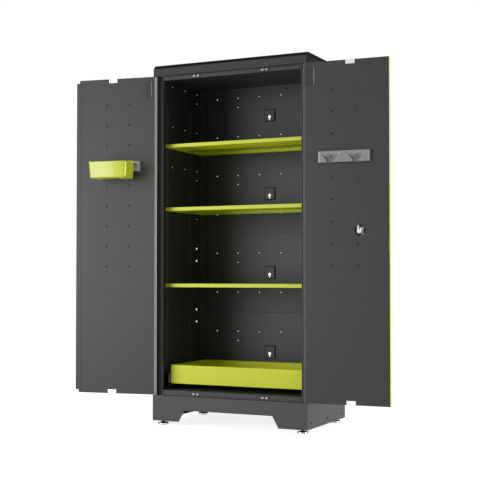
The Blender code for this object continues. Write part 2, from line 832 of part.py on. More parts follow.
def make_back():
    face = DEPTH
    step = SHEET + CLEAR
    front_edge = DEPTH - PAN_DEPTH
    for i in range(PAN_COUNT):
        name = "back_panel_" + str(i + 1)
        low = PAN_BOTTOM + i * BACK_PITCH
        high = low + BACK_PITCH
        first = i == 0
        last = i == PAN_COUNT - 1
        outline = [(front_edge, low)] if first else []
        outline.append((face, low + (0.0 if first else CLEAR)))
        if last:
            outline += [(face, high), (front_edge, high)]
        else:
            outline += [
                (face, high - step), (face - step, high), (face - step, high + PAN_BAND),
            ]
        inside = WALL_INSIDE - CLEAR
        panel = folded(name, outline, (-inside, inside), "X", CHARCOAL)
        bottom = low + CLEAR
        flange_top = high - step - CLEAR
        flanges = boxes(name + "_flanges", [
            ((side * inside, front_edge, bottom if not first else low),
             (side * SIDE_FACE, face, high if last else flange_top))
            for side in SIDES
        ])
        bends = boxes(name + "_bends", [
            ((side * (inside - SHEET), face - SHEET, bottom if not first else low),
             (side * SIDE_FACE, face, high if last else flange_top))
            for side in SIDES
        ])
        middle = (low + high) / 2
        boss_face = face - PAN_BOSS_DEPTH
        boss = rounded_square(
            name + "_boss", 0.0, middle, BOSS_SIZE, boss_face, face - SHEET / 2, BOSS_CORNER,
        )
        wide, tall = BOSS_SIZE
        hollow = rounded_square(
            name + "_boss_hollow", 0.0, middle, (wide - 2 * SHEET, tall - 2 * SHEET),
            boss_face + SHEET, face + SHEET, BOSS_CORNER - SHEET,
        )
        join(panel, flanges, bends, boss)
        cut(panel, hollow, keyhole(name, middle), back_holes(name, middle))


def keyhole(name, middle):
    centre = middle - KEYHOLE_DROP
    deep = DEPTH - PAN_BOSS_DEPTH
    hole = rods(
        name + "_keyhole", [(0.0, deep, centre)], KEYHOLE_RADIUS, 8 * SHEET, "Y", SMALL_ROUND,
    )
    wide, tall = KEYHOLE_SLOT
    slot = box(
        name + "_keyhole_slot", (-wide / 2, deep - 4 * SHEET, centre - tall),
        (wide / 2, deep + 4 * SHEET, centre),
    )
    return join(hole, slot)


def back_holes(name, middle):
    centres = []
    for x in PAN_HOLE_X:
        for side in SIDES:
            for row in (-1, 1):
                centres.append((side * x, DEPTH, middle + row * PAN_HOLE_Z))
    for side in SIDES:
        height = middle + PAN_HOLE_Z - SIDE_EXTRA_DROP
        centres.append((side * PAN_HOLE_X[1], DEPTH, height))
    return rods(name + "_holes", centres, PANEL_HOLE_RADIUS, 6 * SHEET, "Y", HOLE_ROUND)


# Shelves: ribbed trays turned down, each on four clips

def shelf_top(slot):
    return slot_height(slot) + SHELF_RISE


def make_shelf(name, slot):
    top = shelf_top(slot)
    bottom = top - SHELF_FLANGE
    outline = [
        (SHELF_REAR - SHELF_RETURN, bottom), (SHELF_REAR, bottom), (SHELF_REAR, top),
    ]
    for y in reversed(SHELF_RIB_Y):
        outline += [
            (y + SHELF_RIB_TOP / 2, top), (y + SHELF_RIB_BOTTOM / 2, top - SHELF_RIB_DEPTH),
            (y - SHELF_RIB_BOTTOM / 2, top - SHELF_RIB_DEPTH), (y - SHELF_RIB_TOP / 2, top),
        ]
    outline += [(SHELF_FRONT, top), (SHELF_FRONT, bottom), (SHELF_FRONT + SHELF_RETURN, bottom)]
    shelf = folded("shelf_" + name, outline, (-SHELF_HALF, SHELF_HALF), "X", LIME)
    inset = SHEET / 2
    ends = boxes("shelf_" + name + "_ends", [
        ((side * (SHELF_HALF - SHEET), SHELF_FRONT + inset, bottom + inset),
         (side * SHELF_HALF, SHELF_REAR - inset, top - inset))
        for side in SIDES
    ])
    notches = boxes("shelf_" + name + "_notches", [
        ((side * (SHELF_HALF - 3 * SHEET), y - NOTCH_WIDTH / 2, bottom - SHEET),
         (side * (SHELF_HALF + SHEET), y + NOTCH_WIDTH / 2, top - SHEET))
        for side in SIDES for y in UPRIGHT_Y
    ])
    join(shelf, ends)
    cut(shelf, notches)


# Drawer on two three-part ball slides

def make_drawer():
    drawer = open_box(
        "drawer", (-DRAWER_HALF, DRAWER_FRONT, DRAWER_BOTTOM),
        (DRAWER_HALF, DRAWER_REAR, DRAWER_BOTTOM + DRAWER_HEIGHT),
        ("+Z",), LIME, ROOT, SHEET, DRAWER_HEM,
    )
    return drawer


def slide_channel(name, side, wall_x, reach, half_height, opens_to_drawer):
    """One rolled member of a slide: a channel of SLIDE_STEEL, drawn along Y."""
    low = SLIDE_CENTRE - half_height
    high = SLIDE_CENTRE + half_height
    if opens_to_drawer:
        outline = [(low, reach - wall_x), (low, -wall_x), (high, -wall_x), (high, reach - wall_x)]
    else:
        outline = [(high, -wall_x - reach), (high, -wall_x), (low, -wall_x), (low, -wall_x - reach)]
    return folded(
        name, mirrored_zx(outline, side), (DRAWER_FRONT, DRAWER_FRONT + SLIDE_LENGTH), "Y",
        ZINC, ROOT, SLIDE_STEEL,
    )


def make_slides():
    step = SLIDE_STEEL + SLIDE_RUN
    outer_half = SLIDE_HEIGHT / 2
    middle_half = outer_half - step
    inner_half = middle_half - step
    outer_x = BRACKET_FACE - CLEAR
    middle_x = outer_x - SLIDE_STEEL - CLEAR
    inner_x = DRAWER_HALF + CLEAR
    for side in SIDES:
        end = side_name(side)
        slide_channel("slide_outer_" + end, side, outer_x, SLIDE_LIP, outer_half, True)
        slide_channel("slide_middle_" + end, side, middle_x, SLIDE_LIP, middle_half, True)
        slide_channel("slide_inner_" + end, side, inner_x, SLIDE_LIP, inner_half, False)
        root_x = CLEAR - WALL_INSIDE
        bracket = [
            (BRACKET_TOP, root_x), (BRACKET_TOP, -BRACKET_FACE),
            (BRACKET_BOTTOM, -BRACKET_FACE), (BRACKET_BOTTOM, root_x),
        ]
        folded(
            "slide_bracket_" + end, mirrored_zx(bracket, side),
            (DRAWER_FRONT, DRAWER_FRONT + SLIDE_LENGTH), "Y", CHARCOAL,
        )


# Magnetic catches on the rails

def catch_height(end):
    if end == "top":
        return CAP_BOTTOM - TOP_RAIL_HEIGHT / 2
    return BASE_TOP + BOTTOM_RAIL_HEIGHT / 2


def catch_windows(name, height):
    wide, _, tall = MAGNET_CASE
    return boxes(name, [
        ((side * (HALF - CATCH_IN) - wide / 2 - CLEAR, FRAME_SET_BACK - SHEET,
          height - tall / 2 - CLEAR),
         (side * (HALF - CATCH_IN) + wide / 2 + CLEAR, FRAME_SET_BACK + 3 * SHEET,
          height + tall / 2 + CLEAR))
        for side in SIDES
    ])


def make_catches():
    """A plastic case behind each window of the frame, with the edges of two steel poles."""
    wide, deep, tall = MAGNET_CASE
    pole_wide, pole_deep, pole_tall = POLE_SIZE
    front = FRAME_SET_BACK - MAGNET_PROUD
    for end, side in product(("top", "bottom"), SIDES):
        x = side * (HALF - CATCH_IN)
        z = catch_height(end)
        name = "magnet_" + end + "_" + side_name(side)
        case = box(
            name, (x - wide / 2, front, z - tall / 2), (x + wide / 2, front + deep, z + tall / 2),
            BLACK_PLASTIC,
        )
        poles = boxes(name + "_poles", [
            ((x + way * POLE_SPREAD - pole_wide / 2, front - pole_deep, z - pole_tall / 2),
             (x + way * POLE_SPREAD + pole_wide / 2, front + pole_deep, z + pole_tall / 2))
            for way in SIDES
        ])
        join(case, poles)


# Doors: lime skin, charcoal inner panel, hinge-edge channel

def door_x(inwards, side):
    """Where a distance from the hinge edge lies in the frame of a closed door."""
    return -side * (inwards - PIVOT_IN)


def door_y(deep):
    """The same for a distance behind the door's outer face."""
    return deep - PIVOT_BACK


def door_points(points, side):
    """(distance from hinge edge, depth) points turned into the (x, y) of a closed door."""
    left = [(inwards - PIVOT_IN, door_y(deep)) for inwards, deep in points]
    return mirrored(left, side)


def door_box(name, low, high, side, material, parent):
    """A box given as (distance from hinge edge, depth, height) corners."""
    return box(
        name,
        (door_x(low[0], side), door_y(low[1]), low[2]),
        (door_x(high[0], side), door_y(high[1]), high[2]),
        material, parent,
    )


def make_door(side):
    end = side_name(side)
    angle = side * (OPEN_RIGHT if side > 0 else OPEN_LEFT)
    holder = empty(
        "door_" + end + "_pivot", (side * (HALF - PIVOT_IN), PIVOT_BACK, 0.0), ROOT, angle,
    )
    free = DOOR_WIDTH
    hinge_side = "-X" if side < 0 else "+X"
    skin = open_box(
        "door_" + end + "_skin",
        (door_x(0.0, side), door_y(0.0), DOOR_BOTTOM),
        (door_x(free, side), door_y(DOOR_THICK), DOOR_TOP),
        ("+Y", hinge_side), LIME, holder,
    )
    pins = rods(
        "door_" + end + "_pin_holes",
        [(0.0, 0.0, DOOR_TOP), (0.0, 0.0, DOOR_BOTTOM)],
        PIN_HOLE_RADIUS, 4 * SHEET, "Z", SMALL_ROUND, None, holder,
    )
    cut(skin, pins)

    inside = SHEET + CLEAR
    channel = folded(
        "door_" + end + "_channel",
        door_points([
            (CHANNEL_INNER_LEG, DOOR_THICK), (0.0, DOOR_THICK),
            (0.0, inside), (CHANNEL_OUTER_LEG, inside),
        ], side),
        (DOOR_BOTTOM + inside, DOOR_TOP - inside), "Z", CHARCOAL, holder,
    )

    start = CHANNEL_INNER_LEG + CLEAR
    if side < 0:
        step = SHEET + CLEAR
        outline = [
            (free + ASTRAGAL, DOOR_THICK + step),
            (free - ASTRAGAL_START + step, DOOR_THICK + step),
            (free - ASTRAGAL_START, DOOR_THICK), (start, DOOR_THICK),
        ]
    else:
        outline = [(free - inside, DOOR_THICK), (start, DOOR_THICK)]
    inner = folded(
        "door_" + end + "_inner", door_points(outline, side),
        (DOOR_BOTTOM + inside, DOOR_TOP - inside), "Z", CHARCOAL, holder,
    )
    centres = [
        (door_x(inwards, side), door_y(DOOR_THICK), DOOR_TOP - DOOR_HOLE_TOP - row * DOOR_HOLE_PITCH)
        for inwards in DOOR_HOLE_IN for row in range(DOOR_HOLE_ROWS)
    ]
    holes = rods(
        "door_" + end + "_holes", centres, PANEL_HOLE_RADIUS, 4 * SHEET, "Y", HOLE_ROUND,
        None, holder,
    )
    cut(inner, holes)
    if side < 0:
        short = [
            ((door_x(free + CLEAR, side), door_y(DOOR_THICK - SHEET), DOOR_TOP - ASTRAGAL_SHORT),
             (door_x(free + 2 * ASTRAGAL, side), door_y(DOOR_THICK + 3 * SHEET), DOOR_TOP)),
            ((door_x(free + CLEAR, side), door_y(DOOR_THICK - SHEET), DOOR_BOTTOM),
             (door_x(free + 2 * ASTRAGAL, side), door_y(DOOR_THICK + 3 * SHEET),
              DOOR_BOTTOM + ASTRAGAL_SHORT)),
        ]
        cut(inner, boxes("astragal_ends", short, None, holder))

    make_pivots(channel, side, holder)
    make_strikes(side, holder)
    cover_wide, cover_deep, cover_tall = COVER_SIZE
    cover_top = DOOR_TOP - COVER_DROP
    open_box(
        "hinge_cover_" + end,
        (door_x(COVER_IN, side), door_y(DOOR_THICK + CLEAR), cover_top - cover_tall),
        (door_x(COVER_IN + cover_wide, side), door_y(DOOR_THICK + CLEAR + cover_deep), cover_top),
        ("-Y",), CHARCOAL, holder,
    )
    make_tool_rail(side, holder)
    return holder, skin, inner


def make_pivots(channel, side, holder):
    """A block welded into the channel carries each pin, which turns in the cap or the base."""
    wide, deep, tall = PIN_BLOCK
    end = side_name(side)
    inside = SHEET + 2 * CLEAR
    low_deep = 2 * SHEET + CLEAR - SHEET / 2
    near = door_x(SHEET / 2, side)
    far = door_x(wide, side)
    reach = PIN_REACH + SHEET
    blocks = []
    bm = bmesh.new()
    for way, level, target in ((1, DOOR_TOP, CAP_BOTTOM), (-1, DOOR_BOTTOM, BASE_TOP)):
        block_end = level - way * inside
        blocks.append((
            (near, door_y(low_deep), block_end - way * tall),
            (far, door_y(low_deep + deep), block_end),
        ))
        tip = target + way * reach
        root = block_end - way * tall / 2
        add_rod(
            bm, (0.0, 0.0, (tip + root) / 2), PIN_RADIUS, abs(tip - root), "Z", SMALL_ROUND,
        )
    pivots = boxes("pivot_blocks_" + end, blocks, None, holder)
    join(pivots, place("pivot_pins_" + end, bm, None, holder))
    join(channel, pivots)


def make_strikes(side, holder):
    """Zinc strike plates, hooked over the top and bottom edges of the door by two tabs."""
    face = door_y(DOOR_THICK + CLEAR + STRIKE_STEEL)
    rise = CLEAR + STRIKE_STEEL
    near = door_x(CATCH_IN - STRIKE_WIDTH / 2, side)
    far = door_x(CATCH_IN + STRIKE_WIDTH / 2, side)
    span = (min(near, far), max(near, far))
    tab_end = face - STRIKE_TAB
    end = side_name(side)
    tops = [
        (face, DOOR_TOP - STRIKE_LEG), (face, DOOR_TOP + rise), (tab_end, DOOR_TOP + rise),
    ]
    bottoms = [
        (tab_end, DOOR_BOTTOM - rise), (face, DOOR_BOTTOM - rise),
        (face, DOOR_BOTTOM + STRIKE_LEG),
    ]
    middle = sum(span) / 2
    for height, outline, level in (("top", tops, DOOR_TOP), ("bottom", bottoms, DOOR_BOTTOM)):
        name = "strike_" + height + "_" + end
        strike = folded(name, outline, span, "X", ZINC, holder, STRIKE_STEEL)
        notch = box(
            name + "_notch",
            (middle - STRIKE_NOTCH / 2, tab_end - SHEET, level - STRIKE_NOTCH / 2),
            (middle + STRIKE_NOTCH / 2, face - 2 * STRIKE_STEEL, level + STRIKE_NOTCH / 2),
            None, holder,
        )
        cut(strike, notch)


def make_tool_rail(side, holder):
    """A moulded rail: a groove behind its top lip and two pockets that narrow downwards."""
    end = side_name(side)
    back = DOOR_THICK + CLEAR
    front = back + RAIL_DEPTH
    top = DOOR_TOP - RAIL_DROP
    bottom = top - RAIL_HEIGHT
    start = RAIL_IN - RAIL_LENGTH / 2
    stop = RAIL_IN + RAIL_LENGTH / 2
    name = "tool_rail_" + end
    rail = door_box(name, (start, back, bottom), (stop, front, top), side, GREY_PLASTIC, holder)
    bevel(rail, RAIL_BEVEL)
    lip = front - RAIL_GROOVE_IN
    groove = door_box(
        name + "_groove",
        (start + RAIL_GROOVE_END, lip - RAIL_GROOVE_WIDTH, top - RAIL_GROOVE_DEPTH),
        (stop - RAIL_GROOVE_END, lip, top + RAIL_BAND), side, None, holder,
    )
    cut(rail, groove)
    for way in SIDES:
        centre = RAIL_IN + way * RAIL_POCKET_PITCH / 2
        pocket_top = top - RAIL_BAND
        half_top = RAIL_POCKET_TOP / 2
        half_neck = RAIL_POCKET_NECK / 2
        neck_top = bottom + RAIL_NECK_HEIGHT
        below = bottom - RAIL_BAND
        middle = door_x(centre, side)
        pocket = prism(
            name + "_pocket_" + side_name(way),
            [
                (pocket_top, middle + half_top), (pocket_top, middle - half_top),
                (neck_top, middle - half_neck), (below, middle - half_neck),
                (below, middle + half_neck), (neck_top, middle + half_neck),
            ],
            (door_y(front - RAIL_POCKET_DEPTH), door_y(front + RAIL_BAND)), "Y", None, holder,
        )
        cut(rail, pocket)
        boss_wide, boss_deep, boss_tall = RAIL_BOSS
        floor = front - RAIL_POCKET_DEPTH
        middle_z = (pocket_top + bottom) / 2
        boss = door_box(
            name + "_boss_" + side_name(way),
            (centre - boss_wide / 2, floor - SHEET, middle_z - boss_tall / 2),
            (centre + boss_wide / 2, floor + boss_deep, middle_z + boss_tall / 2),
            side, None, holder,
        )
        join(rail, boss)


# Hang-on bin on the left door's rail

def make_bin(holder):
    side = -1
    rail_top = DOOR_TOP - RAIL_DROP
    top = rail_top - BIN_HANG
    back = DOOR_THICK + CLEAR + RAIL_DEPTH + CLEAR
    lift = empty("bin_hanger", (door_x(BIN_IN, side), door_y(back), top), holder)
    half = BIN_LENGTH / 2

    bm = bmesh.new()
    add_box(bm, (-half, 0.0, -BIN_HEIGHT), (half, BIN_DEPTH, 0.0))
    for vert in bm.verts:
        if vert.co.z < -BIN_HEIGHT / 2:
            vert.co.x -= math.copysign(BIN_TAPER, vert.co.x)
            if vert.co.y > BIN_DEPTH / 2:
                vert.co.y -= BIN_TAPER
    bm.normal_update()
    uprights = []
    floor_edges = []
    for edge in bm.edges:
        way = edge.verts[1].co - edge.verts[0].co
        if abs(way.z) > max(abs(way.x), abs(way.y)):
            uprights.append(edge)
    bmesh.ops.bevel(
        bm, geom=uprights, offset=BIN_CORNER, segments=3, profile=BEVEL_PROFILE, affect="EDGES",
    )
    for edge in bm.edges:
        if all(vert.co.z < -BIN_HEIGHT / 2 for vert in edge.verts):
            floor_edges.append(edge)
    bmesh.ops.bevel(
        bm, geom=floor_edges, offset=BIN_CORNER / 2, segments=2, profile=BEVEL_PROFILE, affect="EDGES",
    )
    bm.normal_update()
    lid = [face for face in bm.faces if round(face.normal.z) == 1]
    bmesh.ops.delete(bm, geom=lid, context="FACES")
    tub = solidify(place("bin", bm, LIME_PLASTIC, lift), BIN_WALL)

    hook_half = BIN_HOOK_LENGTH / 2
    lip = RAIL_GROOVE_IN + CLEAR
    gap = (RAIL_GROOVE_WIDTH - BIN_HOOK_WALL) / 2
    hook_face = (BIN_WALL + BIN_HOOK_WALL) / 2
    hook_end = -lip - gap - BIN_HOOK_WALL
    hook_top = BIN_HANG + CLEAR + BIN_HOOK_WALL
    hook = folded(
        "bin_hook",
        [(hook_face, -2 * BIN_WALL), (hook_face, hook_top), (hook_end, hook_top),
         (hook_end, hook_top - BIN_HOOK_WALL - BIN_HOOK_DROP)],
        (-hook_half, hook_half), "X", None, lift, BIN_HOOK_WALL,
    )
    foot_wide, foot_long, foot_high = BIN_FOOT
    inner_floor = -BIN_HEIGHT
    feet = boxes("bin_feet", [
        ((side_way * (half - 3 * foot_wide), BIN_DEPTH / 2 - foot_long / 2, inner_floor - foot_high),
         (side_way * (half - 4 * foot_wide), BIN_DEPTH / 2 + foot_long / 2,
          inner_floor + BIN_WALL / 2))
        for side_way in SIDES
    ], None, lift)
    join(tub, hook, feet)


# Lock in the right door: handle, barrel, cam and two rods

def lock_frame(holder):
    """An empty on the lock's spindle, with y = 0 on the door's outer face."""
    return empty("lock_spindle", (door_x(LOCK_IN, 1), door_y(0.0), LOCK_HEIGHT), holder)


CAM_PLATE = BARREL_INSIDE + CLEAR * 2
ROD_FACE = CAM_PLATE + CAM_THICK + CLEAR
PIN_OFFSET = CAM_RADIUS * math.sin(math.radians(CAM_REST_TILT))
ROD_SLOT_IN = PIN_OFFSET - CAM_PIN_RADIUS - CAM_PIN_CLEAR
ROD_SLOT_OUT = CAM_RADIUS + CAM_PIN_RADIUS + CAM_PIN_CLEAR
ROD_OFFSET = (ROD_SLOT_IN + ROD_SLOT_OUT) / 2
ROD_TRAVEL = 2 * PIN_OFFSET


def rod_slot(name, way, height):
    """The hole in the cap (way 1) or the base (way -1) that a lock rod enters."""
    x = HALF - LOCK_IN + way * ROD_OFFSET
    y = ROD_FACE + ROD_THICK / 2
    wide = ROD_WIDTH / 2 + 2 * ROD_HOLE_CLEAR
    deep = ROD_THICK / 2 + 2 * ROD_HOLE_CLEAR
    return box(
        name, (x - wide, y - deep, height - 3 * SHEET), (x + wide, y + deep, height + 3 * SHEET),
    )


def make_lock(holder, skin, inner):
    centre = lock_frame(holder)
    barrel_hole = rods(
        "lock_hole", [(0.0, 0.0, 0.0)], BARREL_HOLE, 6 * SHEET, "Y", ROUND, None, centre,
    )
    window = rods(
        "lock_window", [(0.0, DOOR_THICK, 0.0)], LOCK_WINDOW, 6 * SHEET, "Y", ROUND, None, centre,
    )
    rod_holes = []
    for way, level in ((1, DOOR_TOP), (-1, DOOR_BOTTOM)):
        x = door_x(LOCK_IN, 1) + way * ROD_OFFSET
        y = door_y(ROD_FACE + ROD_THICK / 2)
        wide = ROD_WIDTH / 2 + ROD_HOLE_CLEAR
        deep = ROD_THICK / 2 + ROD_HOLE_CLEAR
        rod_holes.append((
            (x - wide, y - deep, level - 2 * SHEET), (x + wide, y + deep, level + 2 * SHEET),
        ))
    cut(skin, barrel_hole, boxes("door_rod_holes", rod_holes, None, holder))
    cut(inner, window)

    escutcheon = rods(
        "lock_escutcheon", [(0.0, -CLEAR - ESCUTCHEON_THICK / 2, 0.0)], ESCUTCHEON_RADIUS,
        ESCUTCHEON_THICK, "Y", ROUND, None, centre,
    )
    bevel(escutcheon, ESCUTCHEON_THICK / 4, 1)
    barrel_front = -CLEAR - ESCUTCHEON_THICK
    barrel_length = BARREL_INSIDE - barrel_front
    housing = rods(
        "lock_housing", [(0.0, (BARREL_INSIDE + barrel_front) / 2 + CLEAR, 0.0)],
        BARREL_RADIUS, barrel_length - 2 * CLEAR, "Y", ROUND, ZINC, centre,
    )
    nut = rods(
        "barrel_nut", [(0.0, SHEET + CLEAR + BARREL_NUT_THICK / 2, 0.0)], BARREL_NUT_RADIUS,
        BARREL_NUT_THICK, "Y", 6, None, centre,
    )
    bore = rods(
        "barrel_bore", [(0.0, 0.0, 0.0)], BARREL_BORE, 4 * barrel_length, "Y", ROUND, None, centre,
    )
    join(housing, nut, escutcheon)
    cut(housing, bore)
    make_handle(centre, barrel_front)
    make_cam(centre)
    make_lock_rods(holder)
    make_rod_guides(holder)


def make_handle(centre, barrel_front):
    """A hub with a wing to grip, its spindle through the barrel, and the key plug in it."""
    hub_back = barrel_front - CLEAR
    hub_front = hub_back - HUB_THICK
    wing_wide, wing_deep, wing_tall = WING_SIZE
    wing_front = hub_front - wing_deep
    handle = rods(
        "lock_handle", [(0.0, (hub_back + hub_front) / 2, 0.0)], HUB_RADIUS, HUB_THICK, "Y",
        ROUND, BLACK_PLASTIC, centre,
    )
    wing = box(
        "handle_wing", (-wing_wide / 2, wing_front, -wing_tall / 2),
        (wing_wide / 2, hub_front + SHEET, wing_tall / 2), None, centre,
    )
    bevel(wing, 0.004)
    spindle_end = BARREL_INSIDE + CLEAR
    spindle = rods(
        "handle_spindle", [(0.0, (spindle_end + hub_front) / 2, 0.0)], SPINDLE_RADIUS,
        spindle_end - hub_front, "Y", SMALL_ROUND * 2, None, centre,
    )
    socket = rods(
        "plug_socket", [(0.0, wing_front, 0.0)], PLUG_RADIUS + CLEAR,
        2 * (PLUG_DEPTH + CLEAR), "Y", SMALL_ROUND * 2, None, centre,
    )
    join(handle, wing, spindle)
    cut(handle, socket)
    plug = rods(
        "key_plug", [(0.0, wing_front + PLUG_DEPTH / 2, 0.0)], PLUG_RADIUS, PLUG_DEPTH, "Y",
        SMALL_ROUND * 2, ZINC, centre,
    )
    slot_wide, slot_deep, slot_tall = PLUG_SLOT
    key_slot = box(
        "key_slot", (-slot_wide / 2, wing_front - SHEET, -slot_tall / 2),
        (slot_wide / 2, wing_front + slot_deep, slot_tall / 2), None, centre,
    )
    cut(plug, key_slot)


def make_cam(centre):
    """The cam plate with a pin at each end, tilted as it stands unlocked."""
    turn = Matrix.Rotation(math.radians(CAM_REST_TILT), 4, "Y")
    half = CAM_RADIUS + CAM_PIN_RADIUS + SHEET
    bm = bmesh.new()
    plate = add_box(
        bm, (-half, CAM_PLATE, -CAM_WIDTH / 2), (half, CAM_PLATE + CAM_THICK, CAM_WIDTH / 2),
    )
    bmesh.ops.transform(bm, matrix=turn, verts=plate)
    cam = place("lock_cam", bm, ZINC, centre)
    pins = [
        (side * PIN_OFFSET, CAM_PLATE + CAM_THICK + ROD_THICK / 2, -side * PIN_OFFSET)
        for side in SIDES
    ]
    posts = rods("cam_pins", pins, CAM_PIN_RADIUS, ROD_THICK + 2 * SHEET, "Y", SMALL_ROUND, None, centre)
    hub = rods(
        "cam_hub", [(0.0, CAM_PLATE + CAM_THICK, 0.0)], CAM_HUB_RADIUS, 2 * CAM_THICK, "Y",
        6, None, centre,
    )
    join(cam, posts, hub)


def make_lock_rods(holder):
    """Flat rods driven by the cam's pins. The upper one hangs from the pin on the hinge side."""
    pin_slot = CAM_PIN_RADIUS + CAM_PIN_CLEAR
    low_y = door_y(ROD_FACE)
    high_y = door_y(ROD_FACE + ROD_THICK)
    end_half = (ROD_SLOT_OUT - ROD_SLOT_IN) / 2 + ROD_END_WALL
    for way, name, level in ((1, "lock_rod_upper", DOOR_TOP), (-1, "lock_rod_lower", DOOR_BOTTOM)):
        x = door_x(LOCK_IN, 1) + way * ROD_OFFSET
        slot_z = LOCK_HEIGHT - way * PIN_OFFSET
        end_reach = pin_slot + ROD_END_WALL
        tip = level - way * ROD_TIP_IN
        rod = box(
            name, (x - ROD_WIDTH / 2, low_y, slot_z), (x + ROD_WIDTH / 2, high_y, tip),
            ZINC, holder,
        )
        plate = box(
            name + "_end", (x - end_half, low_y, slot_z - end_reach),
            (x + end_half, high_y, slot_z + end_reach), None, holder,
        )
        slot = box(
            name + "_slot", (x - end_half + ROD_END_WALL, low_y - SHEET, slot_z - pin_slot),
            (x + end_half - ROD_END_WALL, high_y + SHEET, slot_z + pin_slot), None, holder,
        )
        join(rod, plate)
        cut(rod, slot)


def make_rod_guides(holder):
    """A nylon block on the skin for each rod, near its end."""
    wide, tall = GUIDE_SIZE
    back = SHEET + CLEAR
    front = ROD_FACE + ROD_THICK + SHEET
    for way, name, level in ((1, "rod_guide_upper", DOOR_TOP), (-1, "rod_guide_lower", DOOR_BOTTOM)):
        x = door_x(LOCK_IN, 1) + way * ROD_OFFSET
        z = level - way * GUIDE_FROM_TIP
        guide = box(
            name, (x - wide / 2, door_y(back), z - tall / 2),
            (x + wide / 2, door_y(front), z + tall / 2), NYLON, holder,
        )
        bore = box(
            name + "_bore", (x - ROD_WIDTH / 2 - CLEAR, door_y(ROD_FACE - CLEAR), z - tall),
            (x + ROD_WIDTH / 2 + CLEAR, door_y(ROD_FACE + ROD_THICK + CLEAR), z + tall),
            None, holder,
        )
        cut(guide, bore)


# Putting the cabinet together

make_base()
make_feet()
make_side_panels()
make_uprights()
make_decks()
make_cap()
make_back()
for shelf_name, shelf_slot in SHELF_SLOTS.items():
    make_shelf(shelf_name, shelf_slot)
make_drawer()
make_slides()
make_catches()
left_holder, left_skin, left_inner = make_door(-1)
right_holder, right_skin, right_inner = make_door(1)
make_bin(left_holder)
make_lock(right_holder, right_skin, right_inner)


def stand_on_origin():
    """Move the cabinet so that the origin is the bottom centre of the box round it."""
    bpy.context.view_layer.update()
    graph = bpy.context.evaluated_depsgraph_get()
    low = Vector((math.inf,) * 3)
    high = Vector((-math.inf,) * 3)
    for thing in PARTS.objects:
        shape = thing.evaluated_get(graph)
        for corner in shape.bound_box:
            point = shape.matrix_world @ Vector(corner)
            for i in range(3):
                low[i] = min(low[i], point[i])
                high[i] = max(high[i], point[i])
    ROOT.location = (-(low.x + high.x) / 2, -(low.y + high.y) / 2, -low.z)
    bpy.context.view_layer.update()


stand_on_origin()
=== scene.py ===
"""Looks of a steel garage cabinet with two hinged doors, shelves, a drawer and a lock.

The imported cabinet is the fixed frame. Each section below dresses one piece or group of like
pieces, in the order in which the cabinet is put together. Metres, Z up, front towards -Y.
"""
import json
import math

import bmesh
import bpy
import numpy as np
from mathutils import Euler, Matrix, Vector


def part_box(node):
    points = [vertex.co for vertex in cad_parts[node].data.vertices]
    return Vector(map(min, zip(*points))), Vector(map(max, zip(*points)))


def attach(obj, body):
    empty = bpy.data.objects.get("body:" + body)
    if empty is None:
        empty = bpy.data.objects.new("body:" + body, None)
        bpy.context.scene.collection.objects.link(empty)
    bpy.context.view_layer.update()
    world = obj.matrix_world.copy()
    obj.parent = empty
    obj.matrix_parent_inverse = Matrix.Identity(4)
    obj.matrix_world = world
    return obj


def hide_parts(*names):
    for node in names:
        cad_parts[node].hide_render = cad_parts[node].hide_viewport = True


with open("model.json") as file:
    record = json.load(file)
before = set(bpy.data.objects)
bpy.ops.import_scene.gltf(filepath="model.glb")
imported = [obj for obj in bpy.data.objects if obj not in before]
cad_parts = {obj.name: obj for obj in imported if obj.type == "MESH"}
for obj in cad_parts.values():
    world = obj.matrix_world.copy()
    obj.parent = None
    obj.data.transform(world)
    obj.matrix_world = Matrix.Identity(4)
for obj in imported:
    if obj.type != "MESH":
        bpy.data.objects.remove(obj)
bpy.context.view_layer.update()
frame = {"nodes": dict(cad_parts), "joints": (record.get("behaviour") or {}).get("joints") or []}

nodes = frame["nodes"]


# Camera, light and floor
# The cabinet stands on a plain pale floor in a white studio. One soft lamp stands low in front
# and to the left, a smaller one to the right in line with its front, and a weak one above.
CAMERA_ASIDE = 2.32198
CAMERA_AWAY = 4.70733
CAMERA_HEIGHT = 0.75615
CAMERA_YAW = 25.58
CAMERA_PITCH = 1.89
CAMERA_LENS = 79.90
WHITE = (1.0, 1.0, 1.0, 1.0)
FLOOR_COLOUR = (0.87, 0.87, 0.87, 1.0)
FLOOR_ROUGH = 0.9
FLOOR_REACH = 30.0
FLOOR_GLOW = 0.84
AMBIENT = 0.22
LAMPS = {
    "lamp_front": ((-2.5, -3.9, 1.0), 2.6, 108.0),
    "lamp_right": ((4.6, -0.35, 0.7), 1.3, 100.0),
    "lamp_above": ((0.2, -2.2, 5.0), 3.0, 22.0),
}
LAMP_AIM = (0.0, 0.0, 0.9)


def node(tree, kind, inputs=(), **values):
    """A node of that kind with its properties set. Each input is a pair: a socket's name or number,
    and a value or another node's output to link to it."""
    made = tree.nodes.new(kind)
    for name, value in values.items():
        setattr(made, name, value)
    for index, what in inputs:
        if hasattr(what, "is_output"):
            tree.links.new(what, made.inputs[index])
        else:
            made.inputs[index].default_value = what
    return made


def compute(tree, operation, first, second=0.0):
    """One math node's result. Each value is a number or another node's output."""
    return node(tree, "ShaderNodeMath", [(0, first), (1, second)], operation=operation).outputs[0]


def new_material(name):
    """An empty node material: the material, its tree and its Principled shader."""
    material = bpy.data.materials.new(name)
    material.use_nodes = True
    return material, material.node_tree, material.node_tree.nodes["Principled BSDF"]


def seen_directly(tree):
    """A mask that is 1 for camera, glossy and transmission rays: the greatest of the three."""
    rays = node(tree, "ShaderNodeLightPath").outputs
    seen = compute(tree, "MAXIMUM", rays["Is Camera Ray"], rays["Is Glossy Ray"])
    return compute(tree, "MAXIMUM", seen, rays["Is Transmission Ray"])


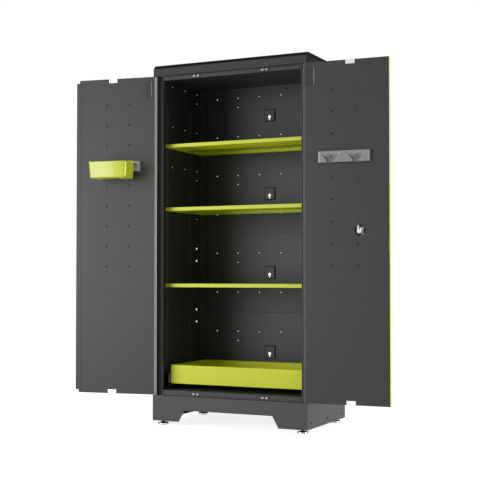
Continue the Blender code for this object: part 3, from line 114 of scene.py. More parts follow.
world = bpy.data.worlds.new("studio")
bpy.context.scene.world = world
world.use_nodes = True
tree = world.node_tree
level = node(tree, "ShaderNodeMapRange", [("Value", seen_directly(tree)), ("To Min", AMBIENT)])
backdrop = tree.nodes["Background"]
backdrop.inputs["Color"].default_value = WHITE
tree.links.new(level.outputs["Result"], backdrop.inputs["Strength"])

corners = np.array([(-1, -1, 0), (1, -1, 0), (1, 1, 0), (-1, 1, 0)]) * FLOOR_REACH
floor_mesh = bpy.data.meshes.new("floor")
floor_mesh.from_pydata(corners.tolist(), [], [(0, 1, 2, 3)])
floor = bpy.data.objects.new("floor", floor_mesh)
bpy.context.scene.collection.objects.link(floor)
floor_paint, tree, shader = new_material("studio_floor")
shader.inputs["Base Color"].default_value = FLOOR_COLOUR
shader.inputs["Roughness"].default_value = FLOOR_ROUGH
shader.inputs["Specular IOR Level"].default_value = 0.0
shader.inputs["Emission Color"].default_value = WHITE
glow = compute(tree, "MULTIPLY", seen_directly(tree), FLOOR_GLOW)
tree.links.new(glow, shader.inputs["Emission Strength"])
floor_mesh.materials.append(floor_paint)

for name, (place, size, power) in LAMPS.items():
    lamp = bpy.data.lights.new(name, "AREA")
    lamp.shape = "SQUARE"
    lamp.size = size
    lamp.energy = power
    holder = bpy.data.objects.new(name, lamp)
    holder.location = place
    aim = np.array(LAMP_AIM) - np.array(place)
    flat = math.hypot(aim[0], aim[1])
    holder.rotation_euler = (math.atan2(flat, -aim[2]), 0.0, math.atan2(-aim[0], aim[1]))
    bpy.context.scene.collection.objects.link(holder)

front_low, front_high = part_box("base_front")
middle_x = (front_low[0] + front_high[0]) / 2
camera_data = bpy.data.cameras.new("camera")
camera_data.lens = CAMERA_LENS
camera = bpy.data.objects.new("camera", camera_data)
camera.location = (middle_x + CAMERA_ASIDE, front_low[1] - CAMERA_AWAY, CAMERA_HEIGHT)
camera.rotation_euler = Euler(
    (math.radians(90 + CAMERA_PITCH), 0.0, math.radians(CAMERA_YAW)), "XYZ"
)
bpy.context.scene.collection.objects.link(camera)
bpy.context.scene.camera = camera
bpy.context.scene.view_settings.view_transform = "Standard"


# Base, floor and ceiling
# Folded one-millimetre steel with a baked charcoal powder coat. It is half-gloss, with a fine
# orange peel and a faint drift in tone. The folds are rounded and catch the light, and their
# colour is lightened as a painted highlight. A finish named in capitals is a colour, its gloss
# (0 is a mirror) and its metal value.
SHEET = 0.001
CLEAR = 0.0003
CHARCOAL = (0.050, 0.051, 0.053, 1.0)
# The base front's charcoal, painted lighter than the rest as painted light.
BASE_PAINTED_LIGHT_CHARCOAL = (0.064, 0.0653, 0.0678, 1.0)
WASHER = ((0.50, 0.49, 0.46, 1.0), 0.4, 0.0)
COAT_GLOSS = 0.42
COAT_SPECULAR = 0.3
COAT_DRIFT = 0.035
PEEL_SCALE = 520.0
PEEL_HEIGHT = 0.00005
FOLD_RADIUS = 0.0016
# Gain of the painted highlight that lightens the colour on folds.
FOLD_HIGHLIGHT_GAIN = 1.9
DRIFT_SCALE = 3.1
NOISE_SPAN = (0.3, 0.7)
FOLD_FACING = (0.995, 0.75)
UP = (0.0, 0.0, 1.0)
FORWARDS = (0.0, -1.0, 0.0)


def node_group(name, inputs, outputs):
    """An empty shader group with its sockets: the group, and its input and output nodes."""
    group = bpy.data.node_groups.new(name, "ShaderNodeTree")
    for label, kind, value in inputs:
        made = group.interface.new_socket(name=label, in_out="INPUT", socket_type=kind)
        made.default_value = value
    for label, kind in outputs:
        group.interface.new_socket(name=label, in_out="OUTPUT", socket_type=kind)
    return group, node(group, "NodeGroupInput"), node(group, "NodeGroupOutput")


def surface_group(name, grain, grain_height, drift, fold_radius, highlight_gain):
    """A finish shared by many materials. Broad noise drifts the tone and the gloss, fine noise
    is the grain's height, and where rounded and flat normals differ a fold's colour is lightened,
    a painted highlight."""
    group, inside, outside = node_group(
        name,
        [("Colour", "NodeSocketColor", (0.5, 0.5, 0.5, 1.0)), ("Gloss", "NodeSocketFloat", 0.4)],
        [("Colour", "NodeSocketColor"), ("Roughness", "NodeSocketFloat"),
         ("Normal", "NodeSocketVector")],
    )
    place = node(group, "ShaderNodeTexCoord").outputs["Object"]
    fine = node(group, "ShaderNodeTexNoise", [("Vector", place), ("Scale", grain), ("Detail", 3.0)])
    broad = node(group, "ShaderNodeTexNoise", [
        ("Vector", place), ("Scale", DRIFT_SCALE), ("Detail", 5.0),
    ])
    tone = node(group, "ShaderNodeMapRange", [
        ("Value", broad.outputs["Fac"]), ("From Min", NOISE_SPAN[0]), ("From Max", NOISE_SPAN[1]),
        ("To Min", 1.0 - drift), ("To Max", 1.0 + drift),
    ]).outputs["Result"]
    fold = node(group, "ShaderNodeBevel", [("Radius", fold_radius)], samples=6)
    flat = node(group, "ShaderNodeNewGeometry").outputs["True Normal"]
    same = node(group, "ShaderNodeVectorMath", [(0, fold.outputs["Normal"]), (1, flat)],
                operation="DOT_PRODUCT")
    # The folds' painted highlight: the colour is scaled up where the normals differ.
    edge = node(group, "ShaderNodeMapRange", [
        ("Value", same.outputs["Value"]), ("From Min", FOLD_FACING[0]),
        ("From Max", FOLD_FACING[1]), ("To Min", 1.0), ("To Max", highlight_gain),
    ]).outputs["Result"]
    shade = node(group, "ShaderNodeVectorMath", [
        (0, inside.outputs["Colour"]), (3, compute(group, "MULTIPLY", tone, edge)),
    ], operation="SCALE")
    rough = compute(group, "MULTIPLY", inside.outputs["Gloss"], tone)
    bump = node(group, "ShaderNodeBump", [
        ("Strength", 0.5), ("Distance", grain_height),
        ("Height", fine.outputs["Fac"]), ("Normal", fold.outputs["Normal"]),
    ])
    group.links.new(shade.outputs[0], outside.inputs["Colour"])
    group.links.new(rough, outside.inputs["Roughness"])
    group.links.new(bump.outputs["Normal"], outside.inputs["Normal"])
    return group


def place_along(tree, direction):
    """The object's coordinates measured along a direction: their dot product with it."""
    place = node(tree, "ShaderNodeTexCoord").outputs["Object"]
    return node(tree, "ShaderNodeVectorMath", [(0, place), (1, tuple(direction))],
                operation="DOT_PRODUCT").outputs["Value"]


def beyond(tree, direction, limit):
    """A mask that is 1 where the place along a direction is past a limit, and 0 elsewhere."""
    return compute(tree, "GREATER_THAN", place_along(tree, direction), limit)


def finished(name, group, colour, gloss, second=None, mask=None, metal=0.0, coat=0.0,
             specular=0.5):
    """A material from a surface group. Where the mask is 1 it takes the second colour, gloss and
    metal value. The mask is a function that adds its nodes to the material's tree."""
    material, tree, shader = new_material(name)
    paint = node(tree, "ShaderNodeGroup", node_tree=group)
    paint.inputs["Colour"].default_value = colour
    paint.inputs["Gloss"].default_value = gloss
    shader.inputs["Metallic"].default_value = metal
    shader.inputs["Coat Weight"].default_value = coat
    shader.inputs["Specular IOR Level"].default_value = specular
    if second:
        where = mask(tree)
        other_colour, other_gloss, other_metal = second
        colours = node(tree, "ShaderNodeMix", [(0, where), (6, colour), (7, other_colour)],
                       data_type="RGBA")
        glosses = node(tree, "ShaderNodeMix", [(0, where), (2, gloss), (3, other_gloss)],
                       data_type="FLOAT")
        metals = node(tree, "ShaderNodeMix", [(0, where), (2, metal), (3, other_metal)],
                      data_type="FLOAT")
        tree.links.new(colours.outputs[2], paint.inputs["Colour"])
        tree.links.new(glosses.outputs[0], paint.inputs["Gloss"])
        tree.links.new(metals.outputs[0], shader.inputs["Metallic"])
    tree.links.new(paint.outputs["Colour"], shader.inputs["Base Color"])
    tree.links.new(paint.outputs["Roughness"], shader.inputs["Roughness"])
    tree.links.new(paint.outputs["Normal"], shader.inputs["Normal"])
    return material


def charcoal_coat(name, colour=CHARCOAL, gloss=COAT_GLOSS, second=None, mask=None):
    """Charcoal powder coat, whose dull film mirrors less than bare steel or plastic."""
    return finished(name, powder_coat, colour, gloss, second, mask, specular=COAT_SPECULAR)


def dress(material, *names):
    """Puts one material on whole CAD nodes, in each of their slots."""
    for name in names:
        for slot in nodes[name].material_slots:
            slot.material = material


powder_coat = surface_group("powder_coat", PEEL_SCALE, PEEL_HEIGHT, COAT_DRIFT, FOLD_RADIUS,
                            FOLD_HIGHLIGHT_GAIN)
charcoal = charcoal_coat("charcoal_coat")
dress(charcoal, "base_rear", "base_side_left", "base_side_right", "floor_panel", "ceiling_panel")
base_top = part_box("base_side_left")[1][2]
# The base front takes the charcoal painted lighter, as painted light.
dress(charcoal_coat("base_front_coat", BASE_PAINTED_LIGHT_CHARCOAL, second=WASHER,
                    mask=lambda tree: beyond(tree, UP, base_top + CLEAR)), "base_front")


# Cap
# A folded charcoal lid that lies on the side panels and the back. Its charcoal is painted lighter
# than the rest, as painted light. Its chamfers face away from the light and are painted nearly
# black as shade, and its ends are painted darker than its front, as painted shade.
# The cap's charcoal, painted lighter as painted light.
CAP_PAINTED_LIGHT_CHARCOAL = (0.066, 0.0673, 0.0700, 1.0)
CAP_SHADED = ((0.006, 0.0062, 0.0065, 1.0), 0.8, 0.0)
CAP_SPECULAR = 0.08
CHAMFER_RISE = 0.019
END_DEPTH = 0.0015
END_SHADE = 0.75
cap_low, cap_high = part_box("cap")


def cap_shade(tree):
    """A mask of painted shade: 1 on the cap's chamfers, between their foot and the flat top, and
    most of that on its two end faces."""
    above_foot, on_top = (beyond(tree, UP, cap_high[2] - drop)
                          for drop in (CHAMFER_RISE, SHEET / 2))
    shaded = compute(tree, "SUBTRACT", above_foot, on_top)
    for side, end in ((1.0, cap_high[0]), (-1.0, -cap_low[0])):
        past_end = beyond(tree, (side, 0.0, 0.0), end - END_DEPTH)
        part = compute(tree, "MULTIPLY", past_end, END_SHADE)
        shaded = compute(tree, "MAXIMUM", shaded, part)
    return shaded


dress(finished("cap_coat", powder_coat, CAP_PAINTED_LIGHT_CHARCOAL, COAT_GLOSS, CAP_SHADED, cap_shade,
               specular=CAP_SPECULAR), "cap")


# Side panels
# Charcoal sheet, folded at the front into a stile and a return. The stile's face stands in the
# shade of the open door, so it is darker than the fold at its inner edge.
STILE_SHADED = ((0.014, 0.0145, 0.015, 1.0), 0.55, 0.0)
STILE_DEPTH = 0.010
STILE_WIDTH = 0.033


def stile_face(side, low, high):
    """A mask that is 1 on a side panel's front stile but not on its inner fold: near the front,
    and further out than the fold."""
    outer = high[0] if side > 0 else -low[0]

    def mask(tree):
        """The two conditions multiplied."""
        front = beyond(tree, FORWARDS, -(low[1] + STILE_DEPTH))
        face = beyond(tree, (side, 0.0, 0.0), outer - STILE_WIDTH)
        return compute(tree, "MULTIPLY", front, face)

    return mask


for side, label in ((-1.0, "left"), (1.0, "right")):
    name = "side_panel_" + label
    dress(charcoal_coat(name + "_coat", second=STILE_SHADED,
                        mask=stile_face(side, *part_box(name))), name)


# Back panels
# Four pressed sheets with the same charcoal coat. Light from outside shows in their screw holes
# and keyholes, and a dark line of shade runs round the square that is raised in each.
BACK_GLOSS = 0.44
PRESS_LINE = ((0.008, 0.008, 0.008, 1.0), 0.6, 0.0)
PRESS_WIDTH = 0.003
SQUARE_RISE = 0.008


def node_points(name):
    """A CAD node's points, one row each."""
    mesh = nodes[name].data
    flat = np.empty(3 * len(mesh.vertices))
    mesh.vertices.foreach_get("co", flat)
    return flat.reshape(-1, 3)


def press_line(name):
    """A mask that is 1 on the walls of a panel's raised square and on a narrow border of its face:
    in front of the panel, and where the greater of the offsets across and up from the square's
    middle, each over its half side, is near 1."""
    points = node_points(name)
    rear = points[:, 1].max()
    face = points[np.abs(points[:, 1] - (rear - SQUARE_RISE)) < 1.5 * SHEET]
    low, high = face.min(axis=0), face.max(axis=0)
    middle, half = (low + high) / 2, (high - low) / 2
    half[1] = 1.0
    border = PRESS_WIDTH / half[0]

    def mask(tree):
        """Three conditions multiplied: past the border's inner line, within its outer line, and
        in front of the panel."""
        place = node(tree, "ShaderNodeTexCoord").outputs["Object"]
        offset = node(tree, "ShaderNodeVectorMath", [(0, place), (1, tuple(middle))],
                      operation="SUBTRACT").outputs[0]
        sides = node(tree, "ShaderNodeVectorMath", [(0, offset), (1, tuple(half))],
                     operation="DIVIDE").outputs[0]
        size = node(tree, "ShaderNodeVectorMath", [(0, sides)], operation="ABSOLUTE").outputs[0]
        split = node(tree, "ShaderNodeSeparateXYZ", [(0, size)]).outputs
        far = compute(tree, "MAXIMUM", split["X"], split["Z"])
        past = compute(tree, "GREATER_THAN", far, 1 - border)
        within = compute(tree, "LESS_THAN", far, 1 + border)
        raised = beyond(tree, FORWARDS, -(rear - CLEAR))
        return compute(tree, "MULTIPLY", compute(tree, "MULTIPLY", past, within), raised)

    return mask


for number in (1, 2, 3, 4):
    name = "back_panel_%d" % number
    dress(charcoal_coat(name + "_coat", CHARCOAL, BACK_GLOSS, PRESS_LINE, press_line(name)), name)


# Shelf uprights and clips
# The uprights are charcoal like the walls they are welded to. The bent clips under the shelves
# are zinc plated, and are told apart from the upright by how far they reach inwards.
ZINC = (0.55, 0.56, 0.58, 1.0)
CLIP_ZINC = (ZINC, 0.35, 1.0)
CLIP_REACH = 0.0198


def inner_strip(name, depth, side):
    """A mask that is 1 within a depth of a node's inner edge."""
    low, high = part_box(name)
    edge = high[0] - depth if side < 0 else low[0] + depth
    return lambda tree: beyond(tree, (-side, 0.0, 0.0), -side * edge)


for side, label in ((-1, "left"), (1, "right")):
    for end in ("front", "rear"):
        name = "upright_" + end + "_" + label
        dress(charcoal_coat(name + "_coat", second=CLIP_ZINC,
                            mask=inner_strip(name, CLIP_REACH, side)), name)


# Shelves
# Three folded trays in lime powder coat, smoother and glossier than the charcoal, with pressed
# ribs and a front flange that shows bright.
LIME = (0.70, 0.77, 0.012, 1.0)
LIME_GLOSS = 0.32
LIME_SPECULAR = 0.35
lime_coat = finished("lime_coat", powder_coat, LIME, LIME_GLOSS, specular=LIME_SPECULAR)
dress(lime_coat, "shelf_lower", "shelf_middle", "shelf_top")


# Drawer
# A lime tray of the same coat. Its hemmed rim and bent corners are rounder than the other folds,
# so its finish has a wider fold, with a fainter painted highlight on it.
DRAWER_LIME = (0.77, 0.83, 0.010, 1.0)
DRAWER_DRIFT = 0.03
HEM_RADIUS = 0.003
# Gain of the painted highlight on the drawer's folds.
HEM_HIGHLIGHT_GAIN = 1.15
drawer_coat = surface_group("drawer_coat", PEEL_SCALE, PEEL_HEIGHT, DRAWER_DRIFT, HEM_RADIUS,
                            HEM_HIGHLIGHT_GAIN)
dress(finished("drawer_lime", drawer_coat, DRAWER_LIME, LIME_GLOSS, specular=LIME_SPECULAR),
      "drawer")


# Drawer slides and their brackets
# Rolled steel channels, bright zinc plated, with the fine lengthwise lines of rolling. The
# brackets are charcoal sheet.
ROLLING_SCALE = (900.0, 6.0, 900.0)
CLOUD_SCALE = 60.0
CLOUD_TONE = (0.84, 1.1)
LINE_TONE = (0.75, 1.3)
LINE_HEIGHT = 0.00004
PLATE_FOLD = 0.0006
ZINC_GLOSS = 0.28


def plated_group():
    """Zinc plate: noise stretched along Y gives fine rolling lines as height and as gloss, and a
    broader noise gives cloudy patches of tone."""
    group, inside, outside = node_group(
        "zinc_plate",
        [("Colour", "NodeSocketColor", ZINC), ("Gloss", "NodeSocketFloat", 0.3)],
        [("Colour", "NodeSocketColor"), ("Roughness", "NodeSocketFloat"),
         ("Normal", "NodeSocketVector")],
    )
    place = node(group, "ShaderNodeTexCoord").outputs["Object"]
    drawn = node(group, "ShaderNodeVectorMath", [(0, place), (1, ROLLING_SCALE)],
                 operation="MULTIPLY")
    lines = node(group, "ShaderNodeTexNoise", [("Vector", drawn.outputs[0]), ("Scale", 1.0)])
    cloud = node(group, "ShaderNodeTexNoise", [
        ("Vector", place), ("Scale", CLOUD_SCALE), ("Detail", 4.0),
    ])
    tone = node(group, "ShaderNodeMapRange", [
        ("Value", cloud.outputs["Fac"]), ("From Min", NOISE_SPAN[0]), ("From Max", NOISE_SPAN[1]),
        ("To Min", CLOUD_TONE[0]), ("To Max", CLOUD_TONE[1]),
    ])
    shade = node(group, "ShaderNodeVectorMath", [
        (0, inside.outputs["Colour"]), (3, tone.outputs["Result"]),
    ], operation="SCALE")
    worn = node(group, "ShaderNodeMapRange", [
        ("Value", lines.outputs["Fac"]), ("To Min", LINE_TONE[0]), ("To Max", LINE_TONE[1]),
    ])
    rough = compute(group, "MULTIPLY", inside.outputs["Gloss"], worn.outputs["Result"])
    fold = node(group, "ShaderNodeBevel", [("Radius", PLATE_FOLD)], samples=4)
    bump = node(group, "ShaderNodeBump", [
        ("Strength", 0.3), ("Distance", LINE_HEIGHT),
        ("Height", lines.outputs["Fac"]), ("Normal", fold.outputs["Normal"]),
    ])
    group.links.new(shade.outputs[0], outside.inputs["Colour"])
    group.links.new(rough, outside.inputs["Roughness"])
    group.links.new(bump.outputs["Normal"], outside.inputs["Normal"])
    return group


zinc_group = plated_group()
zinc = finished("bright_zinc", zinc_group, ZINC, ZINC_GLOSS, metal=1.0)
for label in ("left", "right"):
    dress(zinc, "slide_outer_" + label, "slide_middle_" + label, "slide_inner_" + label)
    dress(charcoal, "slide_bracket_" + label)


# Door skins
# Folded sheet, lime outside and on the free edge. The returns and the inside are charcoal painted
# darker, as painted shade, so it is dark behind the inner panel's holes.
# Charcoal painted darker, as painted shade.
SHADED_INSIDE = (0.016, 0.0165, 0.017, 1.0)
DARK_GLOSS = 0.45
SKIN_LIME = (LIME, 0.30, 0.0)


def reach(name, direction):
    """The least and the greatest distance of a CAD node's points along a direction."""
    along = node_points(name) @ np.array(direction)
    return float(along.min()), float(along.max())


def door_axes(side, label):
    """An open door's directions: from its hinge to its free edge, and out of its inner face. They
    are the closed door's directions, turned by the joint's whole range."""
    joints = {joint["name"]: joint for joint in frame["joints"]}
    turn = side * math.radians(joints["door_" + label + "_swing"]["range_deg"][1])
    along = np.array((-side * math.cos(turn), -side * math.sin(turn), 0.0))
    out = np.array((-math.sin(turn), math.cos(turn), 0.0))
    return along, out


doors = {"left": door_axes(-1, "left"), "right": door_axes(1, "right")}
for label, (along, out) in doors.items():
    skin = "door_" + label + "_skin"
    free_edge = reach(skin, along)[1]
    outer_face = reach(skin, out)[0]

    def lime_faces(tree, along=along, out=out, free_edge=free_edge, outer_face=outer_face):
        """1 on the outer face and on the free edge, each to half a sheet's depth."""
        edge = beyond(tree, along, free_edge - SHEET / 2)
        face = beyond(tree, -out, -outer_face - SHEET / 2)
        return compute(tree, "MAXIMUM", edge, face)

    dress(finished(skin + "_coat", powder_coat, SHADED_INSIDE, DARK_GLOSS, SKIN_LIME, lime_faces),
          skin)


# Door inner panels
# Charcoal sheet that closes the back of each door, with two columns of punched holes. Round each
# hole lies a dark ring of painted shade. The left panel's coat is painted a little lighter, as
# painted light.
# The left panel's colour is painted lighter than the right's, as painted light.
INNER_PAINTED_LIGHT = {"left": (0.049, 0.0496, 0.0508, 1.0), "right": (0.040, 0.0405, 0.0415, 1.0)}
# Dark ring of painted shade round each hole.
RIM_SHADE = ((0.002, 0.002, 0.002, 1.0), 0.6, 0.0)
HOLE_COLUMNS = (0.143, 0.267)
HOLE_TOP = 0.138
HOLE_PITCH = 0.104
HOLE_ROWS = 9
HOLE_SHADE_RADIUS = 0.0049


def hole_shade_rings(label):
    """A mask of painted shade that is 1 within a ring's radius of the nearest hole of a door's
    inner
    panel: the nearest column across, and the nearest row of a fixed pitch, kept within the number
    of rows."""
    along = doors[label][0]
    start = reach("door_" + label + "_channel", along)[0]
    top = reach("door_" + label + "_skin", UP)[1] - HOLE_TOP

    def mask(tree):
        """The distance from the nearest hole's middle, set against the painted shade's radius."""
        across = place_along(tree, along)
        height = place_along(tree, UP)
        near, far = (compute(tree, "ABSOLUTE", compute(tree, "SUBTRACT", across, start + column))
                     for column in HOLE_COLUMNS)
        row = compute(tree, "DIVIDE", compute(tree, "SUBTRACT", top, height), HOLE_PITCH)
        row = compute(tree, "MINIMUM", compute(tree, "ROUND", row), HOLE_ROWS - 1.0)
        row = compute(tree, "MAXIMUM", row, 0.0)
        level = compute(tree, "SUBTRACT", top, compute(tree, "MULTIPLY", row, HOLE_PITCH))
        offset = node(tree, "ShaderNodeCombineXYZ", [
            (0, compute(tree, "MINIMUM", near, far)),
            (1, compute(tree, "SUBTRACT", height, level)),
        ]).outputs[0]
        distance = node(tree, "ShaderNodeVectorMath", [(0, offset)],
                        operation="LENGTH").outputs["Value"]
        return compute(tree, "LESS_THAN", distance, HOLE_SHADE_RADIUS)

    return mask


for label in doors:
    name = "door_" + label + "_inner"
    dress(charcoal_coat(name + "_coat", INNER_PAINTED_LIGHT[label], second=RIM_SHADE, mask=hole_shade_rings(label)),
          name)


# Hinge covers
# Tall charcoal boxes, folded from sheet, over the top pivot of each door. The right side of each
# catches the light as a bright line.
COVER = (0.030, 0.0305, 0.0315, 1.0)
COVER_GLOSS = 0.4
COVER_EDGE = ((0.42, 0.42, 0.43, 1.0), 0.3, 0.0)
for label in doors:
    name = "hinge_cover_" + label
    right_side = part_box(name)[1][0] - 1.5 * SHEET
    dress(charcoal_coat(name + "_coat", COVER, COVER_GLOSS, COVER_EDGE,
                        lambda tree, limit=right_side: beyond(tree, (1.0, 0.0, 0.0), limit)),
          name)


# Hinge-edge channels
# Charcoal channels that stiffen the hinge edge and hold the pivots. Their narrow outer face is
# painted bright as a highlight, on the left door more than on the right.
CHANNEL = (0.095, 0.096, 0.098, 1.0)
# Painted highlights on the channels' narrow outer face.
EDGE_HIGHLIGHTS = {"left": ((0.58, 0.58, 0.59, 1.0), 0.3, 0.0),
              "right": ((0.14, 0.14, 0.145, 1.0), 0.3, 0.0)}
for label, (along, out) in doors.items():
    name = "door_" + label + "_channel"
    highlight_from = -reach(name, along)[0] - 1.5 * SHEET
    dress(charcoal_coat(name + "_coat", CHANNEL, second=EDGE_HIGHLIGHTS[label],
                        mask=lambda tree, way=-along, limit=highlight_from: beyond(tree, way, limit)),
          name)


# Strikes and magnetic catches
# The strikes are zinc plates folded over the doors' edges. The magnets sit in black plastic
# cases, with two bright pole plates that stand a little out of each.
BLACK = (0.014, 0.014, 0.015, 1.0)
CASE_GLOSS = 0.4
POLES = ((0.30, 0.30, 0.31, 1.0), 0.4, 1.0)
POLE_PROUD = 0.0008
STRIKE_ZINC = (0.72, 0.73, 0.75, 1.0)
STRIKE_GLOSS = 0.22
MOULDED_GRAIN = 900.0
MOULDED_GRAIN_HEIGHT = 0.00003
MOULDED_DRIFT = 0.05
MOULDED_FOLD = 0.0006
# Gain of the painted highlight on the moulded plastic's folds.
MOULDED_HIGHLIGHT_GAIN = 1.25
moulded = surface_group("moulded_plastic", MOULDED_GRAIN, MOULDED_GRAIN_HEIGHT, MOULDED_DRIFT,
                        MOULDED_FOLD, MOULDED_HIGHLIGHT_GAIN)
strike_zinc = finished("strike_zinc", zinc_group, STRIKE_ZINC, STRIKE_GLOSS, metal=1.0)
for height in ("top", "bottom"):
    for label in doors:
        dress(strike_zinc, "strike_" + height + "_" + label)
        name = "magnet_" + height + "_" + label
        case_front = -(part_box(name)[0][1] + POLE_PROUD)
        dress(finished(name + "_case", moulded, BLACK, CASE_GLOSS, POLES,
                       lambda tree, limit=case_front: beyond(tree, FORWARDS, limit)), name)


# Tool rails
# Grey plastic, moulded with a glossy skin and rounded ends. Each has two funnel pockets, steep on
# the hinge side and soft on the other, and is screwed through a raised square in each pocket.
RAIL_GREY = (0.27, 0.273, 0.28, 1.0)
RAIL_GLOSS = 0.22
RAIL_COAT = 0.5
RAIL_DRIFT = 0.06
RAIL_FOLD = 0.0012
# Gain of the painted highlight on the rail's folds.
RAIL_HIGHLIGHT_GAIN = 1.6
# The pockets are painted darker the deeper they go, as painted shade.
RECESS_SHADE = ((0.12, 0.122, 0.126, 1.0), 0.3, 0.0)
RAIL_DEPTH = 0.022
RAIL_END_ROUND = 0.012
RAIL_EDGE_ROUND = 0.002
RAIL_BAND = 0.008
POCKET_DEPTH = 0.012
POCKET_PITCH = 0.126
POCKET_TOP = 0.104
POCKET_NECK = 0.040
NECK_HEIGHT = 0.013
STEEP_SIDE = 0.0015
SOFT_SIDE = 0.011
CHUTE = 0.026
SQUARE = (0.016, 0.0165, 0.018)
SQUARE_SIDE = 0.0012
SQUARE_HEIGHT = 0.004
GROOVE_IN = 0.006
GROOVE_WIDTH = 0.008
GROOVE_DEPTH = 0.010
GROOVE_END = 0.007
GROOVE_RAMP = 0.001
SCREW_BLACK = (0.020, 0.020, 0.021, 1.0)
SCREW_GLOSS = 0.3
SCREW_METAL = 0.6
RAIL_SCREW = (0.0042, 0.0016)
MERGE = 2e-6
SHARP_DEGREES = 40


def quads(rows, columns, closed=True):
    """Corner numbers of the faces between neighbouring points of a grid of rows by columns. A
    closed grid also joins each row's last point to its first."""
    row = np.arange(rows - 1)[:, None] * columns
    first = np.arange(columns if closed else columns - 1)[None, :]
    after = (first + 1) % columns
    faces = (row + first, row + after, row + columns + after, row + columns + first)
    return np.stack(np.broadcast_arrays(*faces), axis=-1).reshape(-1, 4)


def placed(points, faces, origin, directions):
    """Points given along three directions, moved to their place: origin + point @ directions.
    Left-handed directions turn the faces over, so that they still look outwards."""
    directions = np.array(directions, float)
    if np.linalg.det(directions) < 0:
        faces = faces[:, ::-1]
    return np.asarray(origin) + points @ directions, faces


def gathered(surfaces):
    """Several surfaces as one: points end to end, and corner numbers moved up to match."""
    starts = np.cumsum([0] + [len(points) for points, _ in surfaces[:-1]])
    return (np.concatenate([points for points, _ in surfaces]),
            np.concatenate([faces + start for (_, faces), start in zip(surfaces, starts)]))


def make_piece(name, surface, material, body, finish, *replaced):
    """A piece from points and faces: doubled points merged, shaded smooth between edges of over
    40 degrees, riding on a body and standing for the CAD nodes named last."""
    points, faces = surface
    mesh = bpy.data.meshes.new(name)
    mesh.from_pydata(points.tolist(), [], faces.tolist())
    work = bmesh.new()
    work.from_mesh(mesh)
    bmesh.ops.remove_doubles(work, verts=work.verts, dist=MERGE)
    work.to_mesh(mesh)
    work.free()
    mesh.polygons.foreach_set("use_smooth", np.ones(len(mesh.polygons), bool))
    mesh.set_sharp_from_angle(angle=math.radians(SHARP_DEGREES))
    mesh.materials.append(material)
    piece = bpy.data.objects.new(name, mesh)
    bpy.context.scene.collection.objects.link(piece)
    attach(piece, body)
    if replaced:
        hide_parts(*replaced)


def rail_surface(length, height):
    """The rail's depth over its length and height. It is the full depth times a quarter circle
    near each edge, less the pockets: a smooth step of the distance inside each funnel times a
    floor that slopes in downwards, plus a raised square. Each row of the grid runs up the front,
    through the groove in the top and down the back."""
    u = np.concatenate((
        -length / 2 + RAIL_END_ROUND * (1 - np.cos(np.radians(np.linspace(0, 90, 7)[:-1]))),
        np.linspace(-length / 2 + RAIL_END_ROUND, length / 2 - RAIL_END_ROUND, 260),
        length / 2 - RAIL_END_ROUND * (1 - np.sin(np.radians(np.linspace(0, 90, 7)[1:]))),
    ))[:, None]
    v = np.concatenate((
        -height / 2 + RAIL_EDGE_ROUND * (1 - np.cos(np.radians(np.linspace(0, 90, 5)[:-1]))),
        np.linspace(-height / 2 + RAIL_EDGE_ROUND, height / 2 - RAIL_EDGE_ROUND, 56),
        height / 2 - RAIL_EDGE_ROUND * (1 - np.sin(np.radians(np.linspace(0, 90, 5)[1:]))),
    ))[None, :]
    from_end = np.clip((length / 2 - np.abs(u)) / RAIL_END_ROUND, 0, 1)
    from_edge = np.clip((height / 2 - np.abs(v)) / RAIL_EDGE_ROUND, 0, 1)
    ends = np.sqrt(1 - (1 - from_end) ** 2)
    edges = np.sqrt(1 - (1 - from_edge) ** 2)
    depth = RAIL_DEPTH - RAIL_END_ROUND * (1 - ends) - RAIL_EDGE_ROUND * (1 - edges)
    top, neck = height / 2 - RAIL_BAND, NECK_HEIGHT - height / 2
    slope = np.clip((v - neck) / (top - neck), 0, 1)
    half_width = POCKET_NECK / 2 + slope * (POCKET_TOP - POCKET_NECK) / 2
    wide, proud, tall = SQUARE
    for middle in (-POCKET_PITCH / 2, POCKET_PITCH / 2):
        inside = (half_width - np.abs(u - middle)) / np.where(u < middle, STEEP_SIDE, SOFT_SIDE)
        step = np.clip(inside, 0, 1)
        sunk = POCKET_DEPTH * np.clip((top - v) / CHUTE, 0, 1)
        depth = depth - sunk * step * step * (3 - 2 * step)
        beside = np.minimum(wide / 2 - np.abs(u - middle), tall / 2 - np.abs(v - SQUARE_HEIGHT))
        depth = depth + np.clip(proud - depth, 0, None) * np.clip(beside / SQUARE_SIDE, 0, 1)
    front = np.stack(np.broadcast_arrays(u, depth, v), axis=-1)
    lip = np.minimum(RAIL_DEPTH - GROOVE_IN, front[:, -1:, 1] - CLEAR)
    down = GROOVE_DEPTH * np.clip((length / 2 - GROOVE_END - np.abs(u)) / GROOVE_RAMP, 0, 1)
    groove = [np.stack((u, at, height / 2 - sunk), axis=-1)
              for at, sunk in ((lip, 0 * u), (lip, down), (lip - GROOVE_WIDTH, down),
                               (lip - GROOVE_WIDTH, 0 * u))]
    rear = front[:, [-1, 0]] * (1, 0, 1)
    rings = np.concatenate((front, *groove, rear), axis=1)
    middles = np.broadcast_to(rings.mean(axis=1, keepdims=True), rings.shape)
    rings = np.concatenate((middles[:1], rings, middles[-1:]))
    return rings.reshape(-1, 3), quads(rings.shape[0], rings.shape[1])


